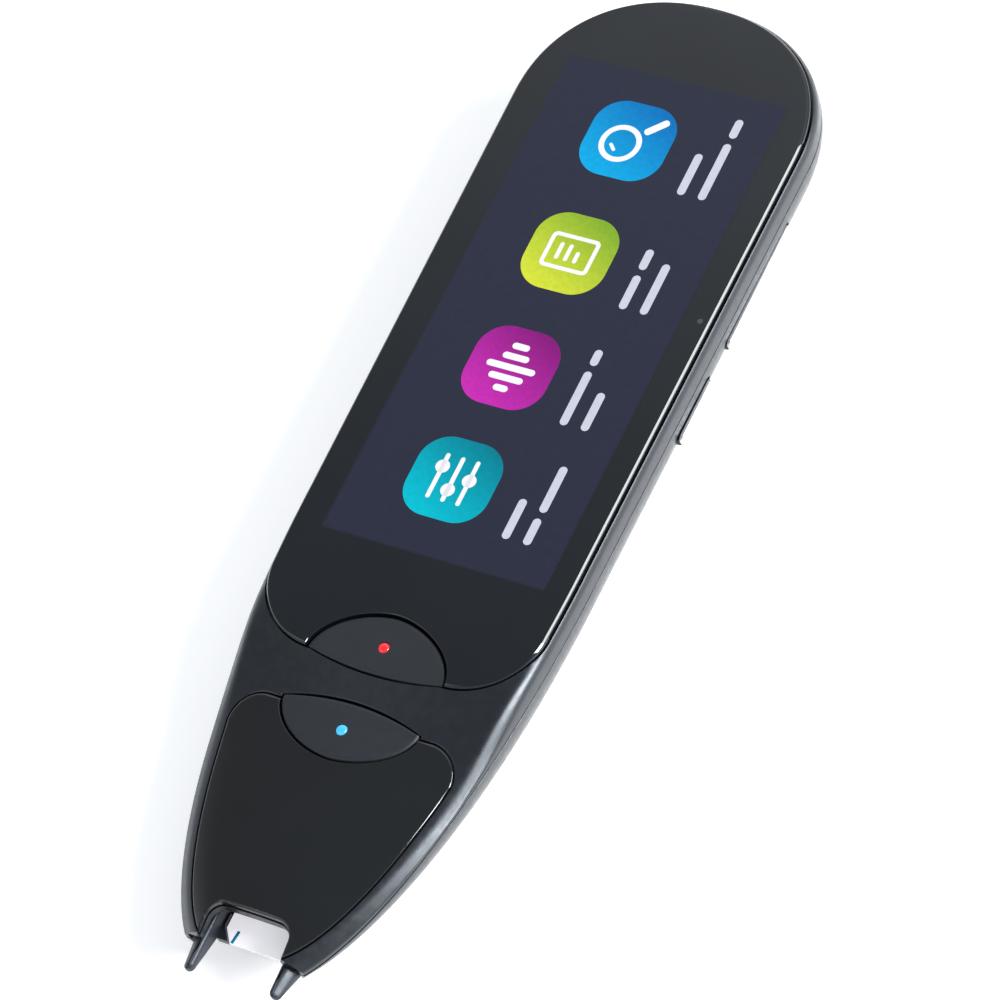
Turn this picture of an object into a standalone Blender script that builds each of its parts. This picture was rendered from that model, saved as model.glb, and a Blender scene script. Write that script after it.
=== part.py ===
"""Scanning pen: a flat hand-held reader with a screen, two front keys, side keys and a forked scanning nose.

The pen lies on its back. +X is the side with the side keys, +Y the rounded end, +Z the screen side.
The origin is on the flat back, on the centre line, halfway along the casing outline.
"""

import math

import bmesh
import bpy

MM = 0.001

# Casing outline, seen from the screen side
HALF_LENGTH = 79.0 * MM
TOP_HALF_WIDTH = 22.6 * MM
WAIST_HALF_WIDTH = 21.8 * MM
TOP_ARC_LENGTH = 20.8 * MM
NOSE_ARC_LENGTH = 69.0 * MM
TOP_POWER = 2.2
NOSE_WIDTH_POWER = 2.3
NOSE_LENGTH_POWER = 1.93
NOSE_STEPS = 18
SIDE_STEPS = 4
TOP_STEPS = 13
POINT_SHIFT_SHARE = 0.5

# Heights above the flat back
PARTING_HEIGHT = 9.3 * MM
PARTING_GAP = 0.24 * MM
FACE_HEIGHT = 13.1 * MM
GLASS_HEIGHT = 13.5 * MM
NOSE_BEND_Y = -29.0 * MM
NOSE_LIFT = 5.8 * MM
NOSE_DROP = 1.0 * MM
NOSE_PARTING_DROP = 1.6 * MM
CROWN = 2.7 * MM
CROWN_START_Y = -28.0 * MM
CROWN_END_Y = -48.0 * MM
CROWN_SHARES = (-0.88, -0.66, -0.33, 0.0, 0.33, 0.66, 0.88)

# Walls and gaps
WALL = 1.4 * MM
FACE_PLATE = 2.2 * MM
SEAT_GAP = 0.3 * MM
KEY_GAP = 0.25 * MM
KEY_TRAVEL = 0.4 * MM
OVERRUN = 3.0 * MM
BACK_ROUND = 8.5 * MM
BACK_STEPS = 7

# Rounded rim of the front frame: how far in, and how far below the face
RIM_STEPS = (
    (0.04 * MM, 1.7 * MM),
    (0.14 * MM, 1.0 * MM),
    (0.36 * MM, 0.6 * MM),
    (0.75 * MM, 0.35 * MM),
    (1.4 * MM, 0.15 * MM),
    (1.9 * MM, 0.0),
)

# Screen
GLASS_THICKNESS = 1.2 * MM
GLASS_INSET = 0.75 * MM
GLASS_EDGE_GAP = 0.2 * MM
GLASS_END_Y = -32.3 * MM
GLASS_CORNER = 11.0 * MM
DISPLAY_SIDE_MARGIN = 4.1 * MM
DISPLAY_FOOT_Y = -18.55 * MM
DISPLAY_ARC_REACH = 8.75 * MM
DISPLAY_THICKNESS = 1.7 * MM
DISPLAY_X = 0.6 * MM

# Front keys: a pair of half lenses with the band of the casing between them
UPPER_KEY_Y = -32.3 * MM
UPPER_KEY_HALF_WIDTH = 10.3 * MM
UPPER_KEY_CROWN = 7.5 * MM
UPPER_KEY_SAG = 1.2 * MM
LOWER_KEY_Y = -39.7 * MM
LOWER_KEY_HALF_WIDTH = 10.3 * MM
LOWER_KEY_CROWN = 6.9 * MM
LOWER_KEY_SAG = 1.45 * MM
KEY_POWER = 1.8
KEY_CAP = 2.5 * MM
KEY_FLANGE = 0.6 * MM
KEY_FLANGE_LAP = 0.8 * MM
KEY_ARC_STEPS = 9
LIGHT_PIPE_RADIUS = 0.95 * MM
LIGHT_PIPE_PROUD = 0.1 * MM
UPPER_PIPE_Y = -29.4 * MM
LOWER_PIPE_Y = -42.3 * MM

# Glossy lower panel
PANEL_TOP_Y = -40.2 * MM
PANEL_INSET = 2.4 * MM
PANEL_CORNER = 4.4 * MM
PANEL_THICKNESS = 0.8 * MM
PANEL_PROUD = 0.08 * MM
PANEL_ARCH_MARGIN = 0.15 * MM
PANEL_STEPS = 9

# Nose opening, scan tip and scan window
ARCH_HALF_WIDTH = 6.0 * MM
ARCH_Y = -69.8 * MM
ARCH_CORNER = 2.0 * MM
CHEEK_END_Y = -74.3 * MM
ARM_INNER = 5.7 * MM
ARM_THICKNESS = 1.6 * MM
ARM_FRONT_THICKNESS = 2.3 * MM
ARM_LOW = 6.0 * MM
ARM_HIGH = 9.1 * MM
ARM_REAR_HEIGHT = 2.4 * MM
ARM_STEP_Y = -66.5 * MM
ARM_END_Y = -73.0 * MM
PRONG_TIP_Y = -78.6 * MM
PRONG_TIP_WIDTH = 1.6 * MM
PRONG_TIP_HEIGHT = 1.8 * MM
PRONG_TIP_FALL = 0.1 * MM
PRONG_ROUND = 0.7 * MM
TIP_BAR_Y = -57.0 * MM
TIP_BAR_DEPTH = 1.4 * MM
TIP_BAR_HEIGHT = 1.6 * MM
TIP_TRAVEL = 0.8 * MM
WINDOW_HALF_WIDTH = 5.4 * MM
WINDOW_FRONT_Y = -72.6 * MM
WINDOW_LENGTH = 6.9 * MM
WINDOW_SHELF_HALF_WIDTH = 6.4 * MM
WINDOW_SHELF_SETBACK = 0.4 * MM
WINDOW_SHELF_DEPTH = 2.8 * MM
WINDOW_SHELF_THICKNESS = 0.7 * MM
WINDOW_SHELF_GAP = 0.2 * MM
WINDOW_LOW = 5.2 * MM
WINDOW_THICKNESS = 0.7 * MM
WINDOW_CHAMFER_WIDTH = 1.4 * MM
WINDOW_CHAMFER_LENGTH = 2.0 * MM
NOSE_CUT_Y = -70.8 * MM

# Side keys
SIDE_KEY_Z = 6.0 * MM
SIDE_KEY_HEIGHT = 2.3 * MM
SIDE_KEY_PROUD = 0.4 * MM
SIDE_KEY_SLOPE = 0.75 * MM
SIDE_KEY_SETBACK = 4.1 * MM
SIDE_KEY_FLANGE = 0.6 * MM
SIDE_KEY_LAP = 0.3 * MM
VOLUME_SETBACK = 38.15 * MM
VOLUME_LENGTH = 20.4 * MM
VOLUME_SWITCH_SPREAD = 6.0 * MM
POWER_SETBACK = 59.15 * MM
POWER_LENGTH = 10.2 * MM

# Boards, battery and other parts inside
CHASSIS_THICKNESS = 1.0 * MM
CHASSIS_FRONT_Y = -20.5 * MM
CHASSIS_SIDE_GAP = 0.3 * MM
BOARD_THICKNESS = 1.0 * MM
BOARD_INSET = 2.4 * MM
BOARD_FRONT_Y = 14.0 * MM
BATTERY_SIZE = (26.0 * MM, 50.0 * MM, 4.1 * MM)
BATTERY_Y = -13.0 * MM
SHIELD_SIZE = (16.0 * MM, 16.0 * MM, 1.6 * MM)
SHIELD_SETBACK = 45.0 * MM
CONNECTOR_SIZE = (8.0 * MM, 3.0 * MM, 1.6 * MM)
CONNECTOR_X = -4.0 * MM
CONNECTOR_Y = 22.4 * MM
SPEAKER_SIZE = (15.0 * MM, 11.0 * MM, 3.5 * MM)
SPEAKER_SETBACK = 28.5 * MM
GRILLE_HOLE_RADIUS = 0.6 * MM
GRILLE_PITCH = 2.2 * MM
GRILLE_COLUMNS = 5
GRILLE_ROWS = 2
MICROPHONE_SIZE = (3.8 * MM, 2.8 * MM, 1.1 * MM)
MICROPHONE_X = -9.0 * MM
MICROPHONE_SETBACK = 7.5 * MM
MICROPHONE_HOLE_RADIUS = 0.5 * MM
ANTENNA_SIZE = (20.0 * MM, 5.0 * MM, 0.3 * MM)
ANTENNA_GAP = 1.55 * MM
USB_SIZE = (9.0 * MM, 7.2 * MM, 3.2 * MM)
USB_SETBACK = 1.8 * MM
USB_WALL = 0.35 * MM
USB_DEPTH = 5.4 * MM
USB_TONGUE = (6.4 * MM, 4.4 * MM, 0.7 * MM)
KEY_BOARD_HALF_WIDTH = 16.4 * MM
KEY_BOARD_REAR_Y = -25.0 * MM
KEY_BOARD_FRONT_Y = -46.0 * MM
KEY_BOARD_LOW = 6.4 * MM
SWITCH_SIZE = (4.5 * MM, 4.5 * MM, 1.0 * MM)
SWITCH_NUB_RADIUS = 1.1 * MM
SWITCH_NUB = 0.2 * MM
PRESS_GAP = 0.1 * MM
SIDE_BOARD_THICKNESS = 0.8 * MM
SIDE_BOARD_LOW = 3.6 * MM
SIDE_BOARD_MARGIN = 2.8 * MM
SIDE_SWITCH_SIZE = (0.9 * MM, 3.6 * MM, 2.4 * MM)
SCAN_BOARD_HALF_WIDTH = 9.6 * MM
SCAN_BOARD_REAR_Y = -52.5 * MM
SCAN_BOARD_FRONT_Y = -65.0 * MM
SCAN_BOARD_LOW = 8.7 * MM
SCAN_BOARD_THICKNESS = 0.8 * MM
TRIGGER_SIZE = (4.0 * MM, 1.6 * MM, 1.8 * MM)
TRIGGER_PRESS_GAP = 0.2 * MM
CAMERA_SIZE = (6.0 * MM, 5.0 * MM, 3.4 * MM)
CAMERA_REAR_Y = -58.5 * MM
BARREL_RADIUS = 1.5 * MM
BARREL_LENGTH = 1.8 * MM
LENS_RADIUS = 0.9 * MM
LENS_THICKNESS = 0.7 * MM
LIGHT_BOARD_SIZE = (8.0 * MM, 3.0 * MM, 0.6 * MM)
LIGHT_BOARD_Y = -67.6 * MM
FLEX_WIDTH = 6.0 * MM
FLEX_THICKNESS = 0.2 * MM
FLEX_X = 5.8 * MM
DISPLAY_FLEX_WIDTH = 10.0 * MM
DISPLAY_FLEX_Y = 6.0 * MM
DISPLAY_FLEX_END_Y = 20.0 * MM
FLEX_SLOT_LENGTH = 1.4 * MM

# Screws and the bosses that take them
SCREW_HEAD_RADIUS = 1.7 * MM
SCREW_HEAD_HEIGHT = 0.8 * MM
SCREW_SHANK_RADIUS = 0.85 * MM
SCREW_HEAD_LOW = 0.5 * MM
SCREW_TOP = 8.6 * MM
TOP_SCREW_SETBACK = 17.0 * MM
SCREW_PLACES = (
    (8.5 * MM, HALF_LENGTH - TOP_SCREW_SETBACK),
    (11.3 * MM, 17.5 * MM),
    (8.0 * MM, -49.0 * MM),
)
REAR_BOSS_RADIUS = 2.6 * MM
REAR_BOSS_TOP = 5.0 * MM
STANDOFF_RADIUS = 2.0 * MM
SMALL_SCREW_HEAD_RADIUS = 1.3 * MM
SMALL_SCREW_HEAD_HEIGHT = 0.6 * MM
SMALL_SCREW_SHANK_RADIUS = 0.6 * MM
SMALL_SCREW_REACH = 2.4 * MM
KEY_BOARD_SCREWS = (
    (14.7 * MM, -28.0 * MM),
    (12.6 * MM, -43.4 * MM),
)
SCAN_BOARD_SCREW = (8.9 * MM, -60.0 * MM)
SMALL_BOSS_RADIUS = 1.6 * MM
ROUND_STEPS = 16

# Places and heights worked out from the values above
DISPLAY_HEAD_Y = HALF_LENGTH - TOP_ARC_LENGTH + DISPLAY_ARC_REACH
DISPLAY_LENGTH = DISPLAY_HEAD_Y - DISPLAY_FOOT_Y
DISPLAY_WIDTH = 2 * (TOP_HALF_WIDTH - DISPLAY_SIDE_MARGIN)
DISPLAY_Y = (DISPLAY_HEAD_Y + DISPLAY_FOOT_Y) / 2
USB_FRONT_Y = HALF_LENGTH - USB_SETBACK
MICROPHONE_Y = HALF_LENGTH - MICROPHONE_SETBACK
ANTENNA_Y = DISPLAY_HEAD_Y + ANTENNA_GAP + ANTENNA_SIZE[1] / 2
SPEAKER_Y = HALF_LENGTH - SPEAKER_SETBACK
SHIELD_Y = HALF_LENGTH - SHIELD_SETBACK
VOLUME_Y = HALF_LENGTH - VOLUME_SETBACK
POWER_Y = HALF_LENGTH - POWER_SETBACK
SIDE_KEY_FLANGE_X = TOP_HALF_WIDTH - SIDE_KEY_SETBACK
GLASS_LOW = GLASS_HEIGHT - GLASS_THICKNESS
LEDGE_HEIGHT = GLASS_LOW - SEAT_GAP
CEILING = FACE_HEIGHT - FACE_PLATE
DISPLAY_TOP = GLASS_LOW - SEAT_GAP
DISPLAY_LOW = DISPLAY_TOP - DISPLAY_THICKNESS
CHASSIS_TOP = DISPLAY_LOW - SEAT_GAP
CHASSIS_LOW = CHASSIS_TOP - CHASSIS_THICKNESS
BOARD_TOP = CHASSIS_LOW - SEAT_GAP
BOARD_LOW = BOARD_TOP - BOARD_THICKNESS
UNDER_BOARD = BOARD_LOW - SEAT_GAP
FLOOR = WALL + SEAT_GAP
FRAME_FOOT = PARTING_HEIGHT - OVERRUN
KEY_BOARD_TOP = KEY_BOARD_LOW + BOARD_THICKNESS
SCAN_BOARD_TOP = SCAN_BOARD_LOW + SCAN_BOARD_THICKNESS
SWITCH_LOW = KEY_BOARD_TOP + SEAT_GAP
SWITCH_TOP = SWITCH_LOW + SWITCH_SIZE[2] + SWITCH_NUB
KEY_LOW = SWITCH_TOP + PRESS_GAP + KEY_TRAVEL

COLOURS = {
    "gunmetal": ((0.05, 0.055, 0.065), 0.4, 0.3),
    "glass_black": ((0.01, 0.011, 0.013), 0.05, 0.0),
    "matte_black": ((0.03, 0.032, 0.036), 0.6, 0.0),
    "gloss_black": ((0.018, 0.019, 0.022), 0.1, 0.0),
    "display": ((0.03, 0.033, 0.06), 0.3, 0.0),
    "red": ((0.8, 0.03, 0.04), 0.3, 0.0),
    "blue": ((0.06, 0.45, 0.8), 0.3, 0.0),
    "silver": ((0.75, 0.78, 0.82), 0.25, 1.0),
    "tip_grey": ((0.09, 0.1, 0.12), 0.45, 0.0),
    "window_white": ((0.85, 0.87, 0.9), 0.3, 0.0),
    "board_green": ((0.02, 0.15, 0.07), 0.5, 0.0),
    "steel": ((0.55, 0.56, 0.58), 0.35, 1.0),
    "battery": ((0.2, 0.21, 0.22), 0.45, 0.2),
    "black_plastic": ((0.02, 0.02, 0.02), 0.5, 0.0),
    "lens": ((0.02, 0.03, 0.06), 0.05, 0.0),
    "copper": ((0.7, 0.35, 0.15), 0.4, 0.8),
}


def clear_scene():
    for old in list(bpy.data.objects):
        bpy.data.objects.remove(old, do_unlink=True)


def material(name):
    found = bpy.data.materials.get(name)
    if found:
        return found
    colour, roughness, metallic = COLOURS[name]
    made = bpy.data.materials.new(name)
    made.use_nodes = True
    shader = made.node_tree.nodes["Principled BSDF"]
    shader.inputs["Base Color"].default_value = (*colour, 1.0)
    shader.inputs["Roughness"].default_value = roughness
    shader.inputs["Metallic"].default_value = metallic
    return made


def finish_mesh(name, bm, colour, place=(0.0, 0.0, 0.0)):
    """Turn a bmesh into a named object whose origin is at the given place."""
    bmesh.ops.remove_doubles(bm, verts=bm.verts, dist=MM / 1000)
    bmesh.ops.recalc_face_normals(bm, faces=bm.faces)
    bmesh.ops.translate(bm, verts=bm.verts, vec=[-p for p in place])
    mesh = bpy.data.meshes.new(name)
    bm.to_mesh(mesh)
    bm.free()
    made = bpy.data.objects.new(name, mesh)
    made.location = place
    mesh.materials.append(material(colour))
    bpy.context.collection.objects.link(made)
    return made


def hide_cutter(cutter):
    cutter.hide_render = True
    cutter.display_type = "WIRE"
    return cutter


def combine(target, other, operation):
    """Join another shape to the target, or cut it out, and keep the other shape as a hidden guide."""
    hide_cutter(other)
    step = target.modifiers.new(other.name, "BOOLEAN")
    step.operation = operation
    step.solver = "EXACT"
    step.object = other


def cut(target, other):
    combine(target, other, "DIFFERENCE")


def join(target, other):
    combine(target, other, "UNION")


def nose_share(y):
    """0 up to the bend of the nose, 1 at the far end of the casing outline."""
    along = (NOSE_BEND_Y - y) / (NOSE_BEND_Y + HALF_LENGTH)
    return max(0.0, along) ** 2


def half_width_at(y):
    """Half width of the casing outline on the nose side of its widest stretch."""
    along = min(1.0, max(0.0, (NOSE_ARC_LENGTH - HALF_LENGTH - y) / NOSE_ARC_LENGTH))
    return WAIST_HALF_WIDTH * (1.0 - along ** NOSE_LENGTH_POWER) ** (1 / NOSE_WIDTH_POWER)


def face_at(x, y):
    """Height of the face: toward the nose it falls, and it crowns from side to side."""
    along = min(1.0, max(0.0, (CROWN_START_Y - y) / (CROWN_START_Y - CROWN_END_Y)))
    crown = CROWN * along * along * (3.0 - 2.0 * along)
    across = min(1.0, abs(x) / max(half_width_at(y), WALL))
    return FACE_HEIGHT - NOSE_DROP * nose_share(y) - crown * across * across


def bent(z, x, y):
    """Height of a level of the casing at a place: the back rises and the face falls toward the nose."""
    parting = PARTING_HEIGHT - NOSE_PARTING_DROP * nose_share(y)
    back = NOSE_LIFT * nose_share(y)
    if z < PARTING_HEIGHT:
        return back + (parting - back) * z / PARTING_HEIGHT
    return parting + (face_at(x, y) - parting) * (z - PARTING_HEIGHT) / (FACE_HEIGHT - PARTING_HEIGHT)


def casing_half(inset=0.0, shift=0.0):
    """Right half of the casing outline, from the nose up. It may be drawn in, and its points moved on."""
    nose_y = NOSE_ARC_LENGTH - HALF_LENGTH
    top_y = HALF_LENGTH - TOP_ARC_LENGTH
    points = []
    for step in range(NOSE_STEPS):
        angle = math.pi / 2 * (1.0 - (step + shift if step else 0.0) / NOSE_STEPS)
        x = WAIST_HALF_WIDTH * math.cos(angle) ** (2 / NOSE_WIDTH_POWER)
        y = nose_y - NOSE_ARC_LENGTH * math.sin(angle) ** (2 / NOSE_LENGTH_POWER)
        points.append((x if step else 0.0, y))
    for step in range(SIDE_STEPS):
        share = (step + shift) / SIDE_STEPS
        x = WAIST_HALF_WIDTH + (TOP_HALF_WIDTH - WAIST_HALF_WIDTH) * share
        points.append((x, nose_y + (top_y - nose_y) * share))
    for step in range(TOP_STEPS + 1):
        angle = math.pi / 2 * min(1.0, (step + shift) / TOP_STEPS)
        x = TOP_HALF_WIDTH * max(0.0, math.cos(angle)) ** (2 / TOP_POWER)
        y = top_y + TOP_ARC_LENGTH * math.sin(angle) ** (2 / TOP_POWER)
        points.append((x if step < TOP_STEPS else 0.0, y))
    across = 1.0 - inset / TOP_HALF_WIDTH
    along = 1.0 - inset / HALF_LENGTH
    return [(x * across, y * along) for x, y in points]


def between(points, low, high):
    """The stretch of a half outline between two heights along the pen, with an exact point at each end."""
    kept = []
    for (x0, y0), (x1, y1) in zip(points, points[1:]):
        for limit in (low, high):
            if y0 < limit < y1:
                share = (limit - y0) / (y1 - y0)
                kept.append((x0 + (x1 - x0) * share, limit))
        if low < y1 < high:
            kept.append((x1, y1))
    if low < points[0][1]:
        kept.insert(0, points[0])
    return kept


def loop(half, height):
    """A closed loop of points from a right half outline, and the index pairs that face each other."""
    right = [(x, y, height(x, y)) for x, y in half]
    left = [(-x, y, height(x, y)) for x, y in half if x > 0.0]
    points = right + left[::-1]
    pairs = []
    mirrored = len(points) - 1
    for index, (x, _) in enumerate(half):
        if x > 0.0:
            pairs.append((index, mirrored))
            mirrored -= 1
        else:
            pairs.append((index, index))
    return points, pairs


def level(z):
    return lambda x, y: z


def bent_level(z):
    return lambda x, y: bent(z, x, y)


def rim_level(offset):
    return lambda x, y: bent(PARTING_HEIGHT, x, y) + offset


def cap(bm, ring, half, pairs, height):
    """Close a ring with rows of faces from side to side that follow the crown of the face."""
    rows = []
    for step, ((x, y), (right, left)) in enumerate(zip(half, pairs)):
        if right == left:
            rows.append([ring[right]])
        elif step in (0, len(half) - 1):
            rows.append([ring[left], ring[right]])
        else:
            inner = [bm.verts.new((x * share, y, height(x * share, y))) for share in CROWN_SHARES]
            rows.append([ring[left], *inner, ring[right]])
    for near, far in zip(rows, rows[1:]):
        if len(near) != len(far):
            bm.faces.new(near + far[::-1])
            continue
        for i in range(len(near) - 1):
            bm.faces.new((near[i], near[i + 1], far[i + 1], far[i]))


def stack(name, layers, colour, place=(0.0, 0.0, 0.0), crowned=False):
    """A closed body through layers of mirrored outlines: each layer is a half outline and its heights."""
    bm = bmesh.new()
    rings = []
    for half, height in layers:
        points, pairs = loop(half, height)
        rings.append([bm.verts.new(p) for p in points])
    for low, high in zip(rings, rings[1:]):
        for i in range(len(low)):
            j = (i + 1) % len(low)
            bm.faces.new((low[i], low[j], high[j], high[i]))
    for ring, (half, height) in ((rings[0], layers[0]), (rings[-1], layers[-1])):
        if crowned:
            cap(bm, ring, half, pairs, height)
            continue
        for (a, d), (b, c) in zip(pairs, pairs[1:]):
            bm.faces.new([ring[k] for k in dict.fromkeys((a, b, c, d))])
    bmesh.ops.triangulate(bm, faces=bm.faces[:])
    return finish_mesh(name, bm, colour, place)


def prism(name, half, low, high, colour, place=(0.0, 0.0, 0.0)):
    return stack(name, [(half, level(low)), (half, level(high))], colour, place)


def box(name, low, high, colour, place=(0.0, 0.0, 0.0)):
    bm = bmesh.new()
    bmesh.ops.create_cube(bm, size=1.0)
    for vert in bm.verts:
        vert.co = [l if c < 0 else h for l, h, c in zip(low, high, vert.co)]
    return finish_mesh(name, bm, colour, place)


def block(name, x, y, size, low, colour):
    """A box centred at x and y that stands on the level low."""
    corner = (x - size[0] / 2, y - size[1] / 2, low)
    return box(name, corner, [c + s for c, s in zip(corner, size)], colour)


def turned(name, profile, base, axis, colour, place=(0.0, 0.0, 0.0)):
    """A turned body: radius and distance pairs along +X, +Y or +Z from the base point."""
    bm = bmesh.new()
    others = [i for i in range(3) if i != axis]
    rings = []
    for radius, distance in profile:
        ring = []
        for step in range(ROUND_STEPS):
            angle = 2 * math.pi * step / ROUND_STEPS
            point = list(base)
            point[axis] += distance
            point[others[0]] += radius * math.cos(angle)
            point[others[1]] += radius * math.sin(angle)
            ring.append(bm.verts.new(point))
        rings.append(ring)
    for low, high in zip(rings, rings[1:]):
        for i in range(ROUND_STEPS):
            j = (i + 1) % ROUND_STEPS
            bm.faces.new((low[i], low[j], high[j], high[i]))
    bm.faces.new(rings[0])
    bm.faces.new(rings[-1])
    made = finish_mesh(name, bm, colour, place)
    made.data.shade_smooth()
    made.data.set_sharp_from_angle(angle=math.radians(35))
    return made


def rod(name, x, y, low, high, radius, colour="steel"):
    return turned(name, [(radius, 0.0), (radius, high - low)], (x, y, low), 2, colour)


def key_half(y, half_width, crown, sag, grow=0.0):
    """Right half outline of a front key, from its lowest point to its highest. The crown may point down."""
    wide = half_width + grow
    arched = []
    for step in range(KEY_ARC_STEPS + 1):
        angle = math.pi / 2 * step / KEY_ARC_STEPS
        x = wide * max(0.0, math.cos(angle)) ** (2 / KEY_POWER)
        rise = (abs(crown) + grow) * math.sin(angle) ** (2 / KEY_POWER)
        arched.append((x if step < KEY_ARC_STEPS else 0.0, rise))
    sagged = []
    for step in range(KEY_ARC_STEPS):
        share = step / KEY_ARC_STEPS
        sagged.append((wide * share, -(sag + grow) * (1.0 - share * share)))
    points = sagged + arched
    if crown < 0.0:
        points = [(x, -v) for x, v in points[::-1]]
    return [(x, y + v) for x, v in points]


def upper_key_half(grow=0.0):
    return key_half(UPPER_KEY_Y, UPPER_KEY_HALF_WIDTH, UPPER_KEY_CROWN, UPPER_KEY_SAG, grow)


def lower_key_half(grow=0.0):
    return key_half(LOWER_KEY_Y, LOWER_KEY_HALF_WIDTH, -LOWER_KEY_CROWN, LOWER_KEY_SAG, grow)


def arch_half(grow=0.0):
    """Right half of the nose opening, from outside the nose up to its crown."""
    wide = ARCH_HALF_WIDTH + grow
    crown = ARCH_Y + grow
    corner = ARCH_CORNER + grow
    points = [(wide, -HALF_LENGTH - OVERRUN)]
    for step in range(PANEL_STEPS):
        angle = math.pi / 2 * step / (PANEL_STEPS - 1)
        points.append((wide - corner + corner * math.cos(angle), crown - corner + corner * math.sin(angle)))
    return points


def glass_half(grow=0.0):
    """Right half of the screen glass before the upper key is cut out of it."""
    side = casing_half(GLASS_INSET - grow, POINT_SHIFT_SHARE)
    corner_y = GLASS_END_Y + GLASS_CORNER
    upper = between(side, corner_y, HALF_LENGTH)
    wide = upper[0][0]
    reach = GLASS_CORNER + grow
    points = []
    for step in range(PANEL_STEPS):
        angle = math.pi / 2 * (1.0 - step / PANEL_STEPS)
        points.append((wide - reach + reach * math.cos(angle), corner_y - reach * math.sin(angle)))
    return points + upper


def panel_half(grow=0.0):
    """Right half of the lower panel before the key and the nose opening are cut out of it."""
    side = casing_half(PANEL_INSET - grow, POINT_SHIFT_SHARE)
    corner_y = PANEL_TOP_Y - PANEL_CORNER
    points = between(side, -HALF_LENGTH - OVERRUN, corner_y)
    wide = points[-1][0]
    reach = PANEL_CORNER + grow
    for step in range(1, PANEL_STEPS + 1):
        angle = math.pi / 2 * step / PANEL_STEPS
        points.append((wide - reach + reach * math.cos(angle), corner_y + reach * math.sin(angle)))
    return points


def plate_half(inset, front):
    """Right half of a plate that fills the casing outline from the given front edge to the rounded end."""
    return between(casing_half(inset), front, HALF_LENGTH)


def mirrored(places):
    """Each place and its twin on the other side of the centre line."""
    return [(side * x, y) for x, y in places for side in (1.0, -1.0)]


def back_level(share_angle):
    """Inset and height of the rounded back: 0 at the parting line, a right angle at the flat back."""
    return BACK_ROUND * (1.0 - math.cos(share_angle)), PARTING_HEIGHT * (1.0 - math.sin(share_angle))


def rear_cover():
    layers = []
    inside = (PARTING_HEIGHT - WALL) / PARTING_HEIGHT
    for step in range(BACK_STEPS, 0, -1):
        inset, z = back_level(math.pi / 2 * step / BACK_STEPS)
        layers.append((casing_half(WALL + inset * inside), bent_level(WALL + z * inside)))
    layers.append((casing_half(WALL), rim_level(-PARTING_GAP / 2)))
    layers.append((casing_half(), rim_level(-PARTING_GAP / 2)))
    for step in range(1, BACK_STEPS + 1):
        inset, z = back_level(math.pi / 2 * step / BACK_STEPS)
        layers.append((casing_half(inset), bent_level(z)))
    cover = stack("rear_cover", layers, "gunmetal")
    for index, (x, y) in enumerate(mirrored(SCREW_PLACES)):
        foot = bent(WALL, x, y) - WALL / 2
        join(cover, rod(f"rear_boss_{index}", x, y, foot, REAR_BOSS_TOP, REAR_BOSS_RADIUS))
    for index, (x, y) in enumerate(mirrored(SCREW_PLACES)):
        head_top = SCREW_HEAD_LOW + SCREW_HEAD_HEIGHT + SEAT_GAP
        cut(cover, rod(f"head_recess_{index}", x, y, -OVERRUN, bent(head_top, x, y),
                       SCREW_HEAD_RADIUS + SEAT_GAP))
        cut(cover, rod(f"screw_hole_{index}", x, y, 0.0, REAR_BOSS_TOP + OVERRUN,
                       SCREW_SHANK_RADIUS + SEAT_GAP))
    outside = TOP_HALF_WIDTH + OVERRUN
    cut(cover, box("nose_cut", (-side_of_tip(), -HALF_LENGTH - OVERRUN, -OVERRUN),
                   (side_of_tip(), NOSE_CUT_Y, PARTING_HEIGHT + OVERRUN), "steel"))
    cut(cover, box("nose_end_cut", (-outside, -HALF_LENGTH - OVERRUN, -OVERRUN),
                   (outside, CHEEK_END_Y, PARTING_HEIGHT + OVERRUN), "steel"))
    shelf_top = WINDOW_LOW - WINDOW_SHELF_GAP
    shelf_front = WINDOW_FRONT_Y + WINDOW_SHELF_SETBACK
    join(cover, box("window_shelf",
                    (-WINDOW_SHELF_HALF_WIDTH, shelf_front, shelf_top - WINDOW_SHELF_THICKNESS),
                    (WINDOW_SHELF_HALF_WIDTH, shelf_front + WINDOW_SHELF_DEPTH, shelf_top), "gunmetal"))
    for name, y, length in (("volume_slot", VOLUME_Y, VOLUME_LENGTH), ("power_slot", POWER_Y, POWER_LENGTH)):
        reach = length / 2 + KEY_GAP
        half_height = SIDE_KEY_HEIGHT / 2 + KEY_GAP
        cut(cover, box(name, (SIDE_KEY_FLANGE_X, y - reach, SIDE_KEY_Z - half_height),
                       (outside, y + reach, SIDE_KEY_Z + half_height), "steel"))
    cut(cover, usb_opening())
    hole = [(MICROPHONE_HOLE_RADIUS, 0.0), (MICROPHONE_HOLE_RADIUS, HALF_LENGTH)]
    cut(cover, turned("microphone_hole", hole,
                      (MICROPHONE_X, MICROPHONE_Y, UNDER_BOARD - MICROPHONE_SIZE[2] / 2), 1, "steel"))
    for column in range(GRILLE_COLUMNS):
        for row in range(GRILLE_ROWS):
            x = GRILLE_PITCH * (column - (GRILLE_COLUMNS - 1) / 2)
            y = SPEAKER_Y + GRILLE_PITCH * (row - (GRILLE_ROWS - 1) / 2)
            cut(cover, rod(f"grille_hole_{column}_{row}", x, y, -OVERRUN, FLOOR, GRILLE_HOLE_RADIUS))
    return cover


def side_of_tip():
    """Half width of the slot that the arms of the scan tip slide in."""
    return ARM_INNER + ARM_FRONT_THICKNESS + KEY_GAP


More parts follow.
